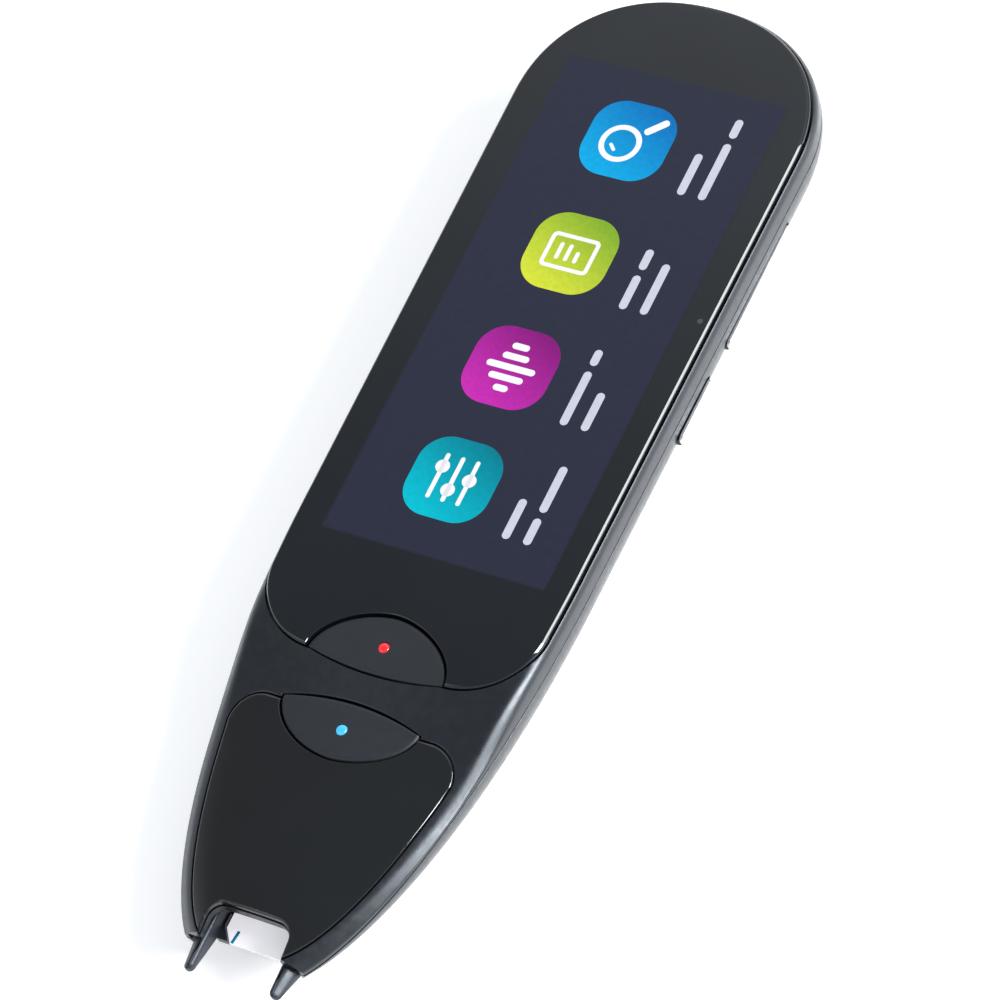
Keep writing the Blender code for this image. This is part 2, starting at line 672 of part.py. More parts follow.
def front_frame():
    layers = [(casing_half(inset), bent_level(FACE_HEIGHT - below)) for inset, below in RIM_STEPS[::-1]]
    layers.append((casing_half(), rim_level(PARTING_GAP / 2)))
    layers.append((casing_half(WALL), rim_level(PARTING_GAP / 2)))
    layers.append((casing_half(WALL), bent_level(CEILING)))
    frame = stack("front_frame", layers, "gunmetal", crowned=True)
    for index, (x, y) in enumerate(mirrored(KEY_BOARD_SCREWS)):
        join(frame, rod(f"key_board_boss_{index}", x, y, KEY_BOARD_TOP + SEAT_GAP, CEILING + WALL / 2,
                        SMALL_BOSS_RADIUS))
    for index, (x, y) in enumerate(mirrored((SCAN_BOARD_SCREW,))):
        join(frame, rod(f"scan_board_boss_{index}", x, y, SCAN_BOARD_TOP + SEAT_GAP, CEILING + WALL / 2,
                        SMALL_BOSS_RADIUS))
    for index, (x, y) in enumerate(mirrored(SCREW_PLACES[2:])):
        join(frame, rod(f"nose_standoff_{index}", x, y, REAR_BOSS_TOP + SEAT_GAP, CEILING + WALL / 2,
                        STANDOFF_RADIUS))
    top = GLASS_HEIGHT + OVERRUN
    cut(frame, prism("glass_pocket", glass_half(GLASS_EDGE_GAP), LEDGE_HEIGHT, top, "steel"))
    pocket = panel_half(KEY_GAP)
    seat = FACE_HEIGHT + PANEL_PROUD - PANEL_THICKNESS - SEAT_GAP
    cut(frame, stack("panel_pocket", [(pocket, bent_level(seat)), (pocket, level(top))], "steel",
                     crowned=True))
    half_width = DISPLAY_WIDTH / 2 + SEAT_GAP
    half_length = DISPLAY_LENGTH / 2 + SEAT_GAP
    cut(frame, box("display_window", (DISPLAY_X - half_width, DISPLAY_Y - half_length, PARTING_HEIGHT),
                   (DISPLAY_X + half_width, DISPLAY_Y + half_length, top), "steel"))
    cut(frame, prism("upper_key_hole", upper_key_half(KEY_GAP), PARTING_HEIGHT, top, "steel"))
    cut(frame, prism("lower_key_hole", lower_key_half(KEY_GAP), PARTING_HEIGHT, top, "steel"))
    cut(frame, prism("arch_cut", arch_half(), FRAME_FOOT, top, "steel"))
    outside = TOP_HALF_WIDTH + OVERRUN
    cut(frame, box("cheek_end_cut", (-outside, -HALF_LENGTH - OVERRUN, FRAME_FOOT),
                   (outside, CHEEK_END_Y, top), "steel"))
    cut(frame, box("tip_slot", (-side_of_tip(), -HALF_LENGTH - OVERRUN, FRAME_FOOT),
                   (side_of_tip(), ARM_STEP_Y + TIP_TRAVEL + SEAT_GAP, ARM_HIGH + SEAT_GAP), "steel"))
    for index, (x, y) in enumerate(mirrored(SCREW_PLACES[2:])):
        cut(frame, rod(f"standoff_hole_{index}", x, y, 0.0, SCREW_TOP + SEAT_GAP,
                       SCREW_SHANK_RADIUS + SEAT_GAP))
    for index, (x, y) in enumerate(mirrored(KEY_BOARD_SCREWS)):
        reach = KEY_BOARD_LOW - SEAT_GAP + SMALL_SCREW_REACH + SEAT_GAP
        cut(frame, rod(f"key_board_hole_{index}", x, y, 0.0, reach, SMALL_SCREW_SHANK_RADIUS + SEAT_GAP))
    for index, (x, y) in enumerate(mirrored((SCAN_BOARD_SCREW,))):
        reach = SCAN_BOARD_LOW - SEAT_GAP + SMALL_SCREW_REACH
        cut(frame, rod(f"scan_board_hole_{index}", x, y, 0.0, reach, SMALL_SCREW_SHANK_RADIUS + SEAT_GAP))
    return frame


def screen():
    glass = prism("screen_glass", glass_half(), GLASS_LOW, GLASS_HEIGHT, "glass_black")
    cut(glass, prism("glass_notch", upper_key_half(KEY_GAP), PARTING_HEIGHT, GLASS_HEIGHT + OVERRUN, "steel"))
    block("display_module", DISPLAY_X, DISPLAY_Y, (DISPLAY_WIDTH, DISPLAY_LENGTH, DISPLAY_THICKNESS),
          DISPLAY_LOW, "display")


def lower_panel():
    half = panel_half()
    face = FACE_HEIGHT + PANEL_PROUD
    panel = stack("lower_panel", [(half, bent_level(face - PANEL_THICKNESS)), (half, bent_level(face))],
                  "gloss_black", crowned=True)
    top = GLASS_HEIGHT + OVERRUN
    cut(panel, prism("panel_key_cut", lower_key_half(KEY_GAP), FRAME_FOOT, top, "steel"))
    cut(panel, prism("panel_arch_cut", arch_half(PANEL_ARCH_MARGIN), FRAME_FOOT, top, "steel"))
    return panel


def front_key(name, half_of, pipe_name, pipe_y, pipe_colour):
    """A front key with a flange under the frame, and the light pipe that shines through it."""
    flange = half_of(KEY_FLANGE_LAP)
    face = half_of()
    flange_top = KEY_LOW + KEY_FLANGE
    place = (0.0, pipe_y, KEY_LOW)
    key = stack(name, [(flange, level(KEY_LOW)), (flange, level(flange_top)), (face, level(flange_top)),
                       (face, bent_level(FACE_HEIGHT))], "matte_black", place, crowned=True)
    radius = LIGHT_PIPE_RADIUS + SEAT_GAP / 2
    cut(key, rod(f"{name}_bore", 0.0, pipe_y, FACE_HEIGHT - KEY_CAP / 2, FACE_HEIGHT + OVERRUN, radius))
    turned(pipe_name, [(LIGHT_PIPE_RADIUS, 0.0),
                       (LIGHT_PIPE_RADIUS, KEY_CAP / 2 - SEAT_GAP + LIGHT_PIPE_PROUD)],
           (0.0, pipe_y, FACE_HEIGHT - KEY_CAP / 2 + SEAT_GAP), 2, pipe_colour, place)


def front_keys():
    front_key("upper_button", upper_key_half, "upper_light_pipe", UPPER_PIPE_Y, "red")
    front_key("lower_button", lower_key_half, "lower_light_pipe", LOWER_PIPE_Y, "blue")


def side_key(name, y, length):
    """A side key: a flange behind the wall and a face that follows the slope of the casing."""
    outer = TOP_HALF_WIDTH - back_inset(SIDE_KEY_Z) + SIDE_KEY_PROUD
    half_height = SIDE_KEY_HEIGHT / 2
    lean = SIDE_KEY_SLOPE / 2
    profile = [
        (SIDE_KEY_FLANGE_X, -half_height - SIDE_KEY_LAP),
        (SIDE_KEY_FLANGE_X + SIDE_KEY_FLANGE, -half_height - SIDE_KEY_LAP),
        (SIDE_KEY_FLANGE_X + SIDE_KEY_FLANGE, -half_height),
        (outer - lean, -half_height),
        (outer + lean, half_height),
        (SIDE_KEY_FLANGE_X + SIDE_KEY_FLANGE, half_height),
        (SIDE_KEY_FLANGE_X + SIDE_KEY_FLANGE, half_height + SIDE_KEY_LAP),
        (SIDE_KEY_FLANGE_X, half_height + SIDE_KEY_LAP),
    ]
    bm = bmesh.new()
    ends = []
    for along in (y - length / 2, y + length / 2):
        ends.append([bm.verts.new((x, along, SIDE_KEY_Z + z)) for x, z in profile])
    for i in range(len(profile)):
        j = (i + 1) % len(profile)
        bm.faces.new((ends[0][i], ends[0][j], ends[1][j], ends[1][i]))
    for end in ends:
        bm.faces.new(end)
    return finish_mesh(name, bm, "silver", (SIDE_KEY_FLANGE_X + SIDE_KEY_FLANGE, y, SIDE_KEY_Z))


def back_inset(z):
    """How far the outside of the rounded back is drawn in at a height."""
    sine = 1.0 - z / PARTING_HEIGHT
    return BACK_ROUND * (1.0 - math.sqrt(1.0 - sine * sine))


def side_keys():
    side_key("volume_rocker", VOLUME_Y, VOLUME_LENGTH)
    side_key("power_button", POWER_Y, POWER_LENGTH)
    switch_outer = SIDE_KEY_FLANGE_X - KEY_TRAVEL - PRESS_GAP
    body_outer = switch_outer - SWITCH_NUB
    body_inner = body_outer - SIDE_SWITCH_SIZE[0]
    places = (
        ("volume_up_switch", VOLUME_Y + VOLUME_SWITCH_SPREAD),
        ("volume_down_switch", VOLUME_Y - VOLUME_SWITCH_SPREAD),
        ("power_switch", POWER_Y),
    )
    for name, y in places:
        half_length = SIDE_SWITCH_SIZE[1] / 2
        half_height = SIDE_SWITCH_SIZE[2] / 2
        switch = box(name, (body_inner, y - half_length, SIDE_KEY_Z - half_height),
                     (body_outer, y + half_length, SIDE_KEY_Z + half_height), "steel")
        nub_start = body_inner + SIDE_SWITCH_SIZE[0] / 2
        nub_radius = SWITCH_NUB_RADIUS / 2
        join(switch, turned(f"{name}_nub", [(nub_radius, 0.0), (nub_radius, switch_outer - nub_start)],
                            (nub_start, y, SIDE_KEY_Z), 0, "black_plastic"))
    board_outer = body_inner - SEAT_GAP
    box("side_key_board",
        (board_outer - SIDE_BOARD_THICKNESS, POWER_Y - POWER_LENGTH / 2 - SIDE_BOARD_MARGIN, SIDE_BOARD_LOW),
        (board_outer, VOLUME_Y + VOLUME_LENGTH / 2 + SIDE_BOARD_MARGIN, UNDER_BOARD), "board_green")


def arm_sections():
    """Stations of one arm of the scan tip: place along the pen, inner side, width, low and high."""
    centre = ARM_HIGH - PRONG_TIP_FALL - PRONG_TIP_HEIGHT / 2
    rear_top = ARM_LOW + ARM_REAR_HEIGHT
    tip_width = PRONG_TIP_WIDTH
    tip_height = PRONG_TIP_HEIGHT
    point_width = tip_width - PRONG_ROUND
    point_height = tip_height - PRONG_ROUND
    middle = ARM_INNER + tip_width / 2
    return [
        (TIP_BAR_Y, ARM_INNER, ARM_THICKNESS, ARM_LOW, rear_top),
        (ARM_STEP_Y + PRONG_ROUND, ARM_INNER, ARM_THICKNESS, ARM_LOW, rear_top),
        (ARM_STEP_Y, ARM_INNER, ARM_FRONT_THICKNESS, ARM_LOW, ARM_HIGH),
        (ARM_END_Y, ARM_INNER, ARM_FRONT_THICKNESS, ARM_LOW, ARM_HIGH),
        (PRONG_TIP_Y + PRONG_ROUND, middle - tip_width / 2, tip_width, centre - tip_height / 2,
         centre + tip_height / 2),
        (PRONG_TIP_Y, middle - point_width / 2, point_width, centre - point_height / 2,
         centre + point_height / 2),
    ]


def scan_tip():
    """Two arms with prongs, joined behind the camera by a bar that works the trigger switch."""
    bm = bmesh.new()
    for side in (1.0, -1.0):
        rings = []
        for y, inner, width, low, high in arm_sections():
            corners = ((inner, low), (inner + width, low), (inner + width, high), (inner, high))
            rings.append([bm.verts.new((side * x, y, z)) for x, z in corners])
        for near, far in zip(rings, rings[1:]):
            for i in range(4):
                j = (i + 1) % 4
                bm.faces.new((near[i], near[j], far[j], far[i]))
        bm.faces.new(rings[0])
        bm.faces.new(rings[-1])
    tip = finish_mesh("scan_tip", bm, "tip_grey", (0.0, ARM_END_Y, ARM_LOW))
    wide = ARM_INNER + ARM_THICKNESS
    join(tip, box("tip_bar", (-wide, TIP_BAR_Y, ARM_LOW),
                  (wide, TIP_BAR_Y + TIP_BAR_DEPTH, ARM_LOW + TIP_BAR_HEIGHT), "tip_grey"))
    return tip


def scan_window():
    """The milky strip that the pen looks through, with its front corners cut away."""
    half = [
        (WINDOW_HALF_WIDTH - WINDOW_CHAMFER_WIDTH, WINDOW_FRONT_Y),
        (WINDOW_HALF_WIDTH, WINDOW_FRONT_Y + WINDOW_CHAMFER_LENGTH),
        (WINDOW_HALF_WIDTH, WINDOW_FRONT_Y + WINDOW_LENGTH),
    ]
    return prism("scan_window", half, WINDOW_LOW, WINDOW_LOW + WINDOW_THICKNESS, "window_white")


def chassis():
    half = plate_half(WALL + CHASSIS_SIDE_GAP, CHASSIS_FRONT_Y)
    plate = prism("chassis", half, CHASSIS_LOW, CHASSIS_TOP, "steel")
    for index, (x, y) in enumerate(mirrored(SCREW_PLACES[:2])):
        join(plate, rod(f"standoff_{index}", x, y, REAR_BOSS_TOP + SEAT_GAP,
                        CHASSIS_LOW + CHASSIS_THICKNESS / 2, STANDOFF_RADIUS))
    for index, (x, y) in enumerate(mirrored(SCREW_PLACES[:2])):
        cut(plate, rod(f"thread_{index}", x, y, 0.0, SCREW_TOP + SEAT_GAP, SCREW_SHANK_RADIUS + SEAT_GAP))
    reach = DISPLAY_FLEX_WIDTH / 2 + SEAT_GAP
    cut(plate, box("flex_slot", (-reach, DISPLAY_FLEX_Y - FLEX_SLOT_LENGTH / 2, 0.0),
                   (reach, DISPLAY_FLEX_Y + FLEX_SLOT_LENGTH / 2, GLASS_HEIGHT), "steel"))
    return plate


def main_board():
    board = prism("main_board", plate_half(BOARD_INSET, BOARD_FRONT_Y), BOARD_LOW, BOARD_TOP, "board_green")
    for index, (x, y) in enumerate(mirrored(SCREW_PLACES[:2])):
        cut(board, rod(f"board_hole_{index}", x, y, 0.0, GLASS_HEIGHT, STANDOFF_RADIUS + SEAT_GAP))
    block("processor_shield", 0.0, SHIELD_Y, SHIELD_SIZE, UNDER_BOARD - SHIELD_SIZE[2], "steel")
    block("battery_connector", CONNECTOR_X, CONNECTOR_Y, CONNECTOR_SIZE,
          UNDER_BOARD - CONNECTOR_SIZE[2], "black_plastic")
    block("microphone", MICROPHONE_X, MICROPHONE_Y, MICROPHONE_SIZE, UNDER_BOARD - MICROPHONE_SIZE[2],
          "steel")
    block("antenna", 0.0, ANTENNA_Y, ANTENNA_SIZE, CHASSIS_TOP + SEAT_GAP, "copper")


def battery():
    block("battery", 0.0, BATTERY_Y, BATTERY_SIZE, FLOOR, "battery")


def speaker():
    block("speaker", 0.0, SPEAKER_Y, SPEAKER_SIZE, FLOOR, "black_plastic")


def usb_opening():
    """The slot in the end of the rear cover that the socket's mouth sits in."""
    half_width = USB_SIZE[0] / 2 + SEAT_GAP
    return box("usb_slot", (-half_width, USB_FRONT_Y - USB_DEPTH, UNDER_BOARD - USB_SIZE[2] - SEAT_GAP),
               (half_width, HALF_LENGTH + OVERRUN, UNDER_BOARD + SEAT_GAP), "steel")


def usb_socket():
    low = UNDER_BOARD - USB_SIZE[2]
    half_width = USB_SIZE[0] / 2
    socket = box("usb_socket", (-half_width, USB_FRONT_Y - USB_SIZE[1], low),
                 (half_width, USB_FRONT_Y, UNDER_BOARD), "steel")
    cut(socket, box("usb_hollow", (-half_width + USB_WALL, USB_FRONT_Y - USB_DEPTH, low + USB_WALL),
                    (half_width - USB_WALL, USB_FRONT_Y + OVERRUN, UNDER_BOARD - USB_WALL), "steel"))
    middle = UNDER_BOARD - USB_SIZE[2] / 2
    root = USB_FRONT_Y - USB_DEPTH
    join(socket, box("usb_tongue", (-USB_TONGUE[0] / 2, root - USB_WALL, middle - USB_TONGUE[2] / 2),
                     (USB_TONGUE[0] / 2, root + USB_TONGUE[1], middle + USB_TONGUE[2] / 2), "black_plastic"))
    return socket


def tact_switch(name, y):
    switch = block(name, 0.0, y, SWITCH_SIZE, SWITCH_LOW, "steel")
    join(switch, rod(f"{name}_nub", 0.0, y, SWITCH_LOW + SWITCH_SIZE[2] / 2, SWITCH_TOP, SWITCH_NUB_RADIUS))


def key_board():
    board = box("key_board", (-KEY_BOARD_HALF_WIDTH, KEY_BOARD_FRONT_Y, KEY_BOARD_LOW),
                (KEY_BOARD_HALF_WIDTH, KEY_BOARD_REAR_Y, KEY_BOARD_TOP), "board_green")
    for index, (x, y) in enumerate(mirrored(KEY_BOARD_SCREWS)):
        cut(board, rod(f"key_board_bore_{index}", x, y, 0.0, GLASS_HEIGHT,
                       SMALL_SCREW_SHANK_RADIUS + SEAT_GAP))
        small_screw(f"key_board_screw_{index + 1}", x, y, KEY_BOARD_LOW - SEAT_GAP)
    tact_switch("upper_switch", UPPER_PIPE_Y)
    tact_switch("lower_switch", LOWER_PIPE_Y)


def small_screw(name, x, y, seat):
    """A small screw that goes up through a board, with its head under the seat level."""
    turned(name, [(SMALL_SCREW_HEAD_RADIUS, -SMALL_SCREW_HEAD_HEIGHT), (SMALL_SCREW_HEAD_RADIUS, 0.0),
                  (SMALL_SCREW_SHANK_RADIUS, 0.0), (SMALL_SCREW_SHANK_RADIUS, SMALL_SCREW_REACH - SEAT_GAP)],
           (x, y, seat), 2, "steel")


def scan_head():
    board = box("scan_board", (-SCAN_BOARD_HALF_WIDTH, SCAN_BOARD_FRONT_Y, SCAN_BOARD_LOW),
                (SCAN_BOARD_HALF_WIDTH, SCAN_BOARD_REAR_Y, SCAN_BOARD_TOP), "board_green")
    for index, (x, y) in enumerate(mirrored((SCAN_BOARD_SCREW,))):
        cut(board, rod(f"scan_board_bore_{index}", x, y, 0.0, GLASS_HEIGHT,
                       SMALL_SCREW_SHANK_RADIUS + SEAT_GAP))
        small_screw(f"scan_board_screw_{index + 1}", x, y, SCAN_BOARD_LOW - SEAT_GAP)
    under = SCAN_BOARD_LOW - SEAT_GAP
    bar_rear = TIP_BAR_Y + TIP_BAR_DEPTH
    trigger_y = bar_rear + TIP_TRAVEL + TRIGGER_PRESS_GAP + TRIGGER_SIZE[1] / 2
    block("trigger_switch", 0.0, trigger_y, TRIGGER_SIZE, under - TRIGGER_SIZE[2], "steel")
    camera_y = CAMERA_REAR_Y - CAMERA_SIZE[1] / 2
    camera = block("scan_camera", 0.0, camera_y, CAMERA_SIZE, under - CAMERA_SIZE[2], "black_plastic")
    axis_z = under - CAMERA_SIZE[2] / 2
    face_y = CAMERA_REAR_Y - CAMERA_SIZE[1]
    join(camera, turned("camera_barrel", [(BARREL_RADIUS, -BARREL_LENGTH), (BARREL_RADIUS, BARREL_LENGTH)],
                        (0.0, face_y, axis_z), 1, "black_plastic"))
    lens_rear = face_y - BARREL_LENGTH + LENS_THICKNESS
    seat_radius = LENS_RADIUS + SEAT_GAP / 2
    cut(camera, turned("lens_seat", [(seat_radius, -OVERRUN), (seat_radius, SEAT_GAP)],
                       (0.0, lens_rear, axis_z), 1, "steel"))
    turned("scan_lens", [(LENS_RADIUS, -LENS_THICKNESS), (LENS_RADIUS, 0.0)], (0.0, lens_rear, axis_z), 1,
           "lens")
    light_top = bent(CEILING, LIGHT_BOARD_SIZE[0] / 2, LIGHT_BOARD_Y) - SEAT_GAP
    block("scan_light_board", 0.0, LIGHT_BOARD_Y, LIGHT_BOARD_SIZE, light_top - LIGHT_BOARD_SIZE[2],
          "board_green")


def flexes():
    """Ribbon cables: the nose to the main board, and the screen to the main board."""
    z = KEY_BOARD_TOP - FLEX_THICKNESS
    box("key_flex", (FLEX_X, KEY_BOARD_REAR_Y + SEAT_GAP, z),
        (FLEX_X + FLEX_WIDTH, BOARD_FRONT_Y - SEAT_GAP, z + FLEX_THICKNESS), "copper")
    box("scan_flex", (-FLEX_WIDTH / 2, SCAN_BOARD_REAR_Y + SEAT_GAP, z),
        (FLEX_WIDTH / 2, KEY_BOARD_FRONT_Y - SEAT_GAP, z + FLEX_THICKNESS), "copper")
    top = CHASSIS_TOP
    low = UNDER_BOARD - FLEX_THICKNESS
    start = DISPLAY_FLEX_Y - FLEX_THICKNESS / 2
    bend = start + FLEX_THICKNESS
    profile = [(start, top), (start, low), (DISPLAY_FLEX_END_Y, low),
               (DISPLAY_FLEX_END_Y, low + FLEX_THICKNESS), (bend, low + FLEX_THICKNESS), (bend, top)]
    bm = bmesh.new()
    ends = []
    for x in (-DISPLAY_FLEX_WIDTH / 2, DISPLAY_FLEX_WIDTH / 2):
        ends.append([bm.verts.new((x, y, z)) for y, z in profile])
    for i in range(len(profile)):
        j = (i + 1) % len(profile)
        bm.faces.new((ends[0][i], ends[0][j], ends[1][j], ends[1][i]))
    for end in ends:
        bm.faces.new(end)
    finish_mesh("display_flex", bm, "copper")


def rear_screws():
    for index, (x, y) in enumerate(mirrored(SCREW_PLACES)):
        low = bent(SCREW_HEAD_LOW, x, y)
        turned(f"rear_screw_{index + 1}",
               [(SCREW_HEAD_RADIUS, low), (SCREW_HEAD_RADIUS, low + SCREW_HEAD_HEIGHT),
                (SCREW_SHANK_RADIUS, low + SCREW_HEAD_HEIGHT), (SCREW_SHANK_RADIUS, SCREW_TOP)],
               (x, y, 0.0), 2, "steel")


def build():
    clear_scene()
    rear_cover()
    front_frame()
    screen()
    lower_panel()
    front_keys()
    side_keys()
    scan_tip()
    scan_window()
    chassis()
    main_board()
    battery()
    speaker()
    usb_socket()
    key_board()
    scan_head()
    flexes()
    rear_screws()


build()
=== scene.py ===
import math

import bmesh
import bpy
from mathutils import Matrix, Vector


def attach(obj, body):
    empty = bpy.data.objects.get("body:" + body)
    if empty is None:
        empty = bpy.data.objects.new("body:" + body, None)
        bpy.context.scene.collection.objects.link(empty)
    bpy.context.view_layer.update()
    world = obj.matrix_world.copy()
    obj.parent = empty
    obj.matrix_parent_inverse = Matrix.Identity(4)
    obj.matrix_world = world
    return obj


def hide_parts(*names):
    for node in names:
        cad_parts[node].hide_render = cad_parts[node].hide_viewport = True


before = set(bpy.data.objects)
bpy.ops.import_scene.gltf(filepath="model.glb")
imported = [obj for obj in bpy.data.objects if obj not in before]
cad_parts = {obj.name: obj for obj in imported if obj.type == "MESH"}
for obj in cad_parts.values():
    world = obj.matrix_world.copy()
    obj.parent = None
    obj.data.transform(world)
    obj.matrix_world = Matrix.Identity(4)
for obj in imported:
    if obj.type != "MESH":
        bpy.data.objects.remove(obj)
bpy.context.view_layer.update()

bpy.context.scene.view_settings.view_transform = "Standard"
MM = 0.001


def mm(value):
    """Metres from millimetres, for a number or for tuples of them."""
    return value * MM if isinstance(value, float) else tuple(mm(part) for part in value)


# Casing outline, seen from the screen side
HALF_LENGTH = 79.0 * MM
TOP_HALF_WIDTH = 22.6 * MM
WAIST_HALF_WIDTH = 21.8 * MM
TOP_ARC_LENGTH = 20.8 * MM
NOSE_ARC_LENGTH = 69.0 * MM
TOP_POWER = 2.2
NOSE_WIDTH_POWER = 2.3
NOSE_LENGTH_POWER = 1.93
NOSE_STEPS = 72
SIDE_STEPS = 24
TOP_STEPS = 60

# Heights above the flat back
PARTING_HEIGHT = 9.3 * MM
PARTING_GAP = 0.24 * MM
FACE_HEIGHT = 13.1 * MM
GLASS_HEIGHT = 13.5 * MM
NOSE_BEND_Y = -29.0 * MM
NOSE_LIFT = 5.8 * MM
NOSE_DROP = 1.0 * MM
NOSE_PARTING_DROP = 1.6 * MM
CROWN = 2.7 * MM
CROWN_START_Y = -28.0 * MM
CROWN_END_Y = -48.0 * MM
CROWN_COLUMNS = 22

# Walls and gaps
WALL = 1.4 * MM
FACE_PLATE = 2.2 * MM
SEAT_GAP = 0.3 * MM
KEY_GAP = 0.25 * MM
OVERRUN = 3.0 * MM
TINY = 0.003 * MM
BACK_ROUND = 8.5 * MM
BACK_STEPS = 22
SHARP_ANGLE = math.radians(32.0)

# Rounded rim of the front frame: how far in, and how far below the face by the glass and at the nose
RIM_STEPS = mm((
    (0.0, 2.6, 2.6), (0.01, 1.7, 2.05), (0.08, 1.26, 1.82), (0.28, 0.85, 1.5),
    (0.62, 0.5, 0.97), (1.05, 0.23, 0.41), (1.56, 0.06, 0.1), (2.1, 0.0, 0.0),
))
RIM_TURN_Y = mm((-26.0, -40.0))
PARTING_EDGE = 0.04 * MM
CEILING = FACE_HEIGHT - FACE_PLATE

# Screen
GLASS_THICKNESS = 1.2 * MM
GLASS_LEDGE = 12.0 * MM
GLASS_EDGE = mm(((0.0, 0.36), (0.03, 0.3), (0.06, 0.26), (0.26, 0.06), (0.31, 0.02), (0.37, 0.0)))
NOTCH_SHARE = 0.35
DISPLAY_SIZE = mm((37.0, 85.5))
DISPLAY_CENTRE = mm((0.6, 24.2))
GLASS_INSET = 0.75 * MM
GLASS_EDGE_GAP = 0.26 * MM
GLASS_END_Y = -32.3 * MM
GLASS_CORNER = 11.0 * MM
GLASS_SINK = 0.06 * MM
GLASS_SPOT_PLACE = mm((20.1, 29.5))
GLASS_SPOT_RADIUS = 0.4 * MM
PICTURE_STEP = 0.02 * MM
PICTURE_CENTRE = mm((0.44, 25.05))
PICTURE_SIZE = mm((34.4, 80.9))
PICTURE_TOP = GLASS_HEIGHT
PICTURE_FADE = 0.5 * MM
PICTURE_CORNER = 0.3 * MM
TILE_X = -2.55 * MM
TILE_HALF = 6.3 * MM
TILE_CORNER = 4.4 * MM
TILES = (
    ("blue", 28.9 * MM, mm(((7.0,), (9.6, 3.2)))),
    ("green", 9.5 * MM, mm(((5.6, 3.4), (8.4,)))),
    ("magenta", -9.8 * MM, mm(((8.8, 2.6), (6.2,)))),
    ("teal", -28.3 * MM, mm(((6.4,), (4.2, 7.4)))),
)
LABEL_ROWS = mm((8.3, 11.5))
LABEL_HALF = 0.6 * MM
LABEL_GAP = 1.0 * MM

# Front keys
UPPER_KEY_Y = -32.3 * MM
UPPER_KEY_HALF_WIDTH = 10.3 * MM
UPPER_KEY_CROWN = 7.5 * MM
UPPER_KEY_SAG = 1.2 * MM
LOWER_KEY_Y = -39.7 * MM
LOWER_KEY_HALF_WIDTH = 10.3 * MM
LOWER_KEY_CROWN = 6.9 * MM
LOWER_KEY_SAG = 1.45 * MM
KEY_POWER = 1.8
KEY_ARC_STEPS = 40
KEY_LOW = 9.4 * MM
KEY_FLANGE = 0.6 * MM
KEY_FLANGE_LAP = 0.8 * MM
KEY_CAP = 2.5 * MM
KEY_EDGE = mm(((0.0, 0.5), (0.05, 0.28), (0.16, 0.12), (0.34, 0.03), (0.6, 0.0)))
LIGHT_PIPE_RADIUS = 0.95 * MM
LIGHT_DOME_RADIUS = 0.78 * MM
LIGHT_SHOULDER = 0.5 * MM
LIGHT_SHOULDER_GAP = 0.1 * MM
LIGHT_GAP = 0.04 * MM
LIGHT_DOME_DEPTH = 0.25 * MM
LIGHT_DOME_STEPS = 9
LIGHT_PIPE_PROUD = 0.1 * MM
UPPER_PIPE_Y = -29.4 * MM
LOWER_PIPE_Y = -42.3 * MM

# Glossy lower panel
PANEL_TOP_Y = -40.2 * MM
PANEL_INSET = 2.4 * MM
PANEL_CORNER = 4.4 * MM
PANEL_THICKNESS = 0.8 * MM
PANEL_PROUD = 0.08 * MM
PANEL_ARCH_MARGIN = 0.15 * MM
PANEL_ARCH_ROUND = 0.4 * MM
PANEL_LIP = 0.15 * MM
PANEL_EDGE = mm(((0.0, 0.3), (0.06, 0.13), (0.18, 0.04), (0.36, 0.0)))
ARCH_LIP = 0.1 * MM
PANEL_KEY_ROUND = 0.2 * MM
CORNER_STEPS = 30

# Edge of a hole in the face: how far out and how far below the face, as shares of its flare
FLARE_STEPS = ((0.0, 1.0), (0.12, 0.5), (0.32, 0.21), (0.62, 0.0))
FLARE_REACH = 0.64
LIP_RISE = 0.02 * MM

# Nose opening, scan tip and scan window
ARCH_HALF_WIDTH = 6.0 * MM
ARCH_Y = -69.8 * MM
ARCH_CORNER = 2.0 * MM
CHEEK_END_Y = -74.3 * MM
ARM_INNER = 5.7 * MM
ARM_THICKNESS = 1.6 * MM
ARM_FRONT_THICKNESS = 2.3 * MM
ARM_LOW = 6.0 * MM
ARM_HIGH = 9.1 * MM
ARM_REAR_HEIGHT = 2.4 * MM
ARM_STEP_Y = -66.5 * MM
ARM_STEP_SLANT = 0.35 * MM
ARM_END_Y = -73.0 * MM
PRONG_TIP_Y = -78.6 * MM
PRONG_TIP_WIDTH = 1.6 * MM
PRONG_TIP_HEIGHT = 1.8 * MM
PRONG_TIP_FALL = 0.1 * MM
PRONG_FACET = 0.55
PRONG_FACET_SOFT = 0.22
TIP_BAR_Y = -57.0 * MM
TIP_BAR_DEPTH = 1.4 * MM
TIP_BAR_HEIGHT = 1.6 * MM
TIP_BAR_CORNER = 0.25 * MM
TIP_TRAVEL = 0.8 * MM
ARM_WEB_LAP = 0.6 * MM
ARM_WEB_GAP = 0.02 * MM
ARM_WEB_REAR_Y = -68.8 * MM
ARM_WEB_THICKNESS = 0.5 * MM
WINDOW_HALF_WIDTH = 5.4 * MM
WINDOW_FRONT_Y = -72.6 * MM
WINDOW_LENGTH = 6.9 * MM
WINDOW_SHELF_HALF_WIDTH = 6.4 * MM
WINDOW_SHELF_SETBACK = 0.4 * MM
WINDOW_SHELF_DEPTH = 2.8 * MM
WINDOW_SHELF_THICKNESS = 0.7 * MM
WINDOW_SHELF_GAP = 0.2 * MM
WINDOW_SHELF_CORNER = 0.25 * MM
WINDOW_LOW = 5.2 * MM
WINDOW_THICKNESS = 0.7 * MM
WINDOW_CHAMFER_WIDTH = 1.4 * MM
WINDOW_CHAMFER_LENGTH = 2.0 * MM
MARK_PLACE = mm((-3.55, -71.55))
MARK_HALF = mm((0.22, 0.95))
MARK_TURN = -0.12
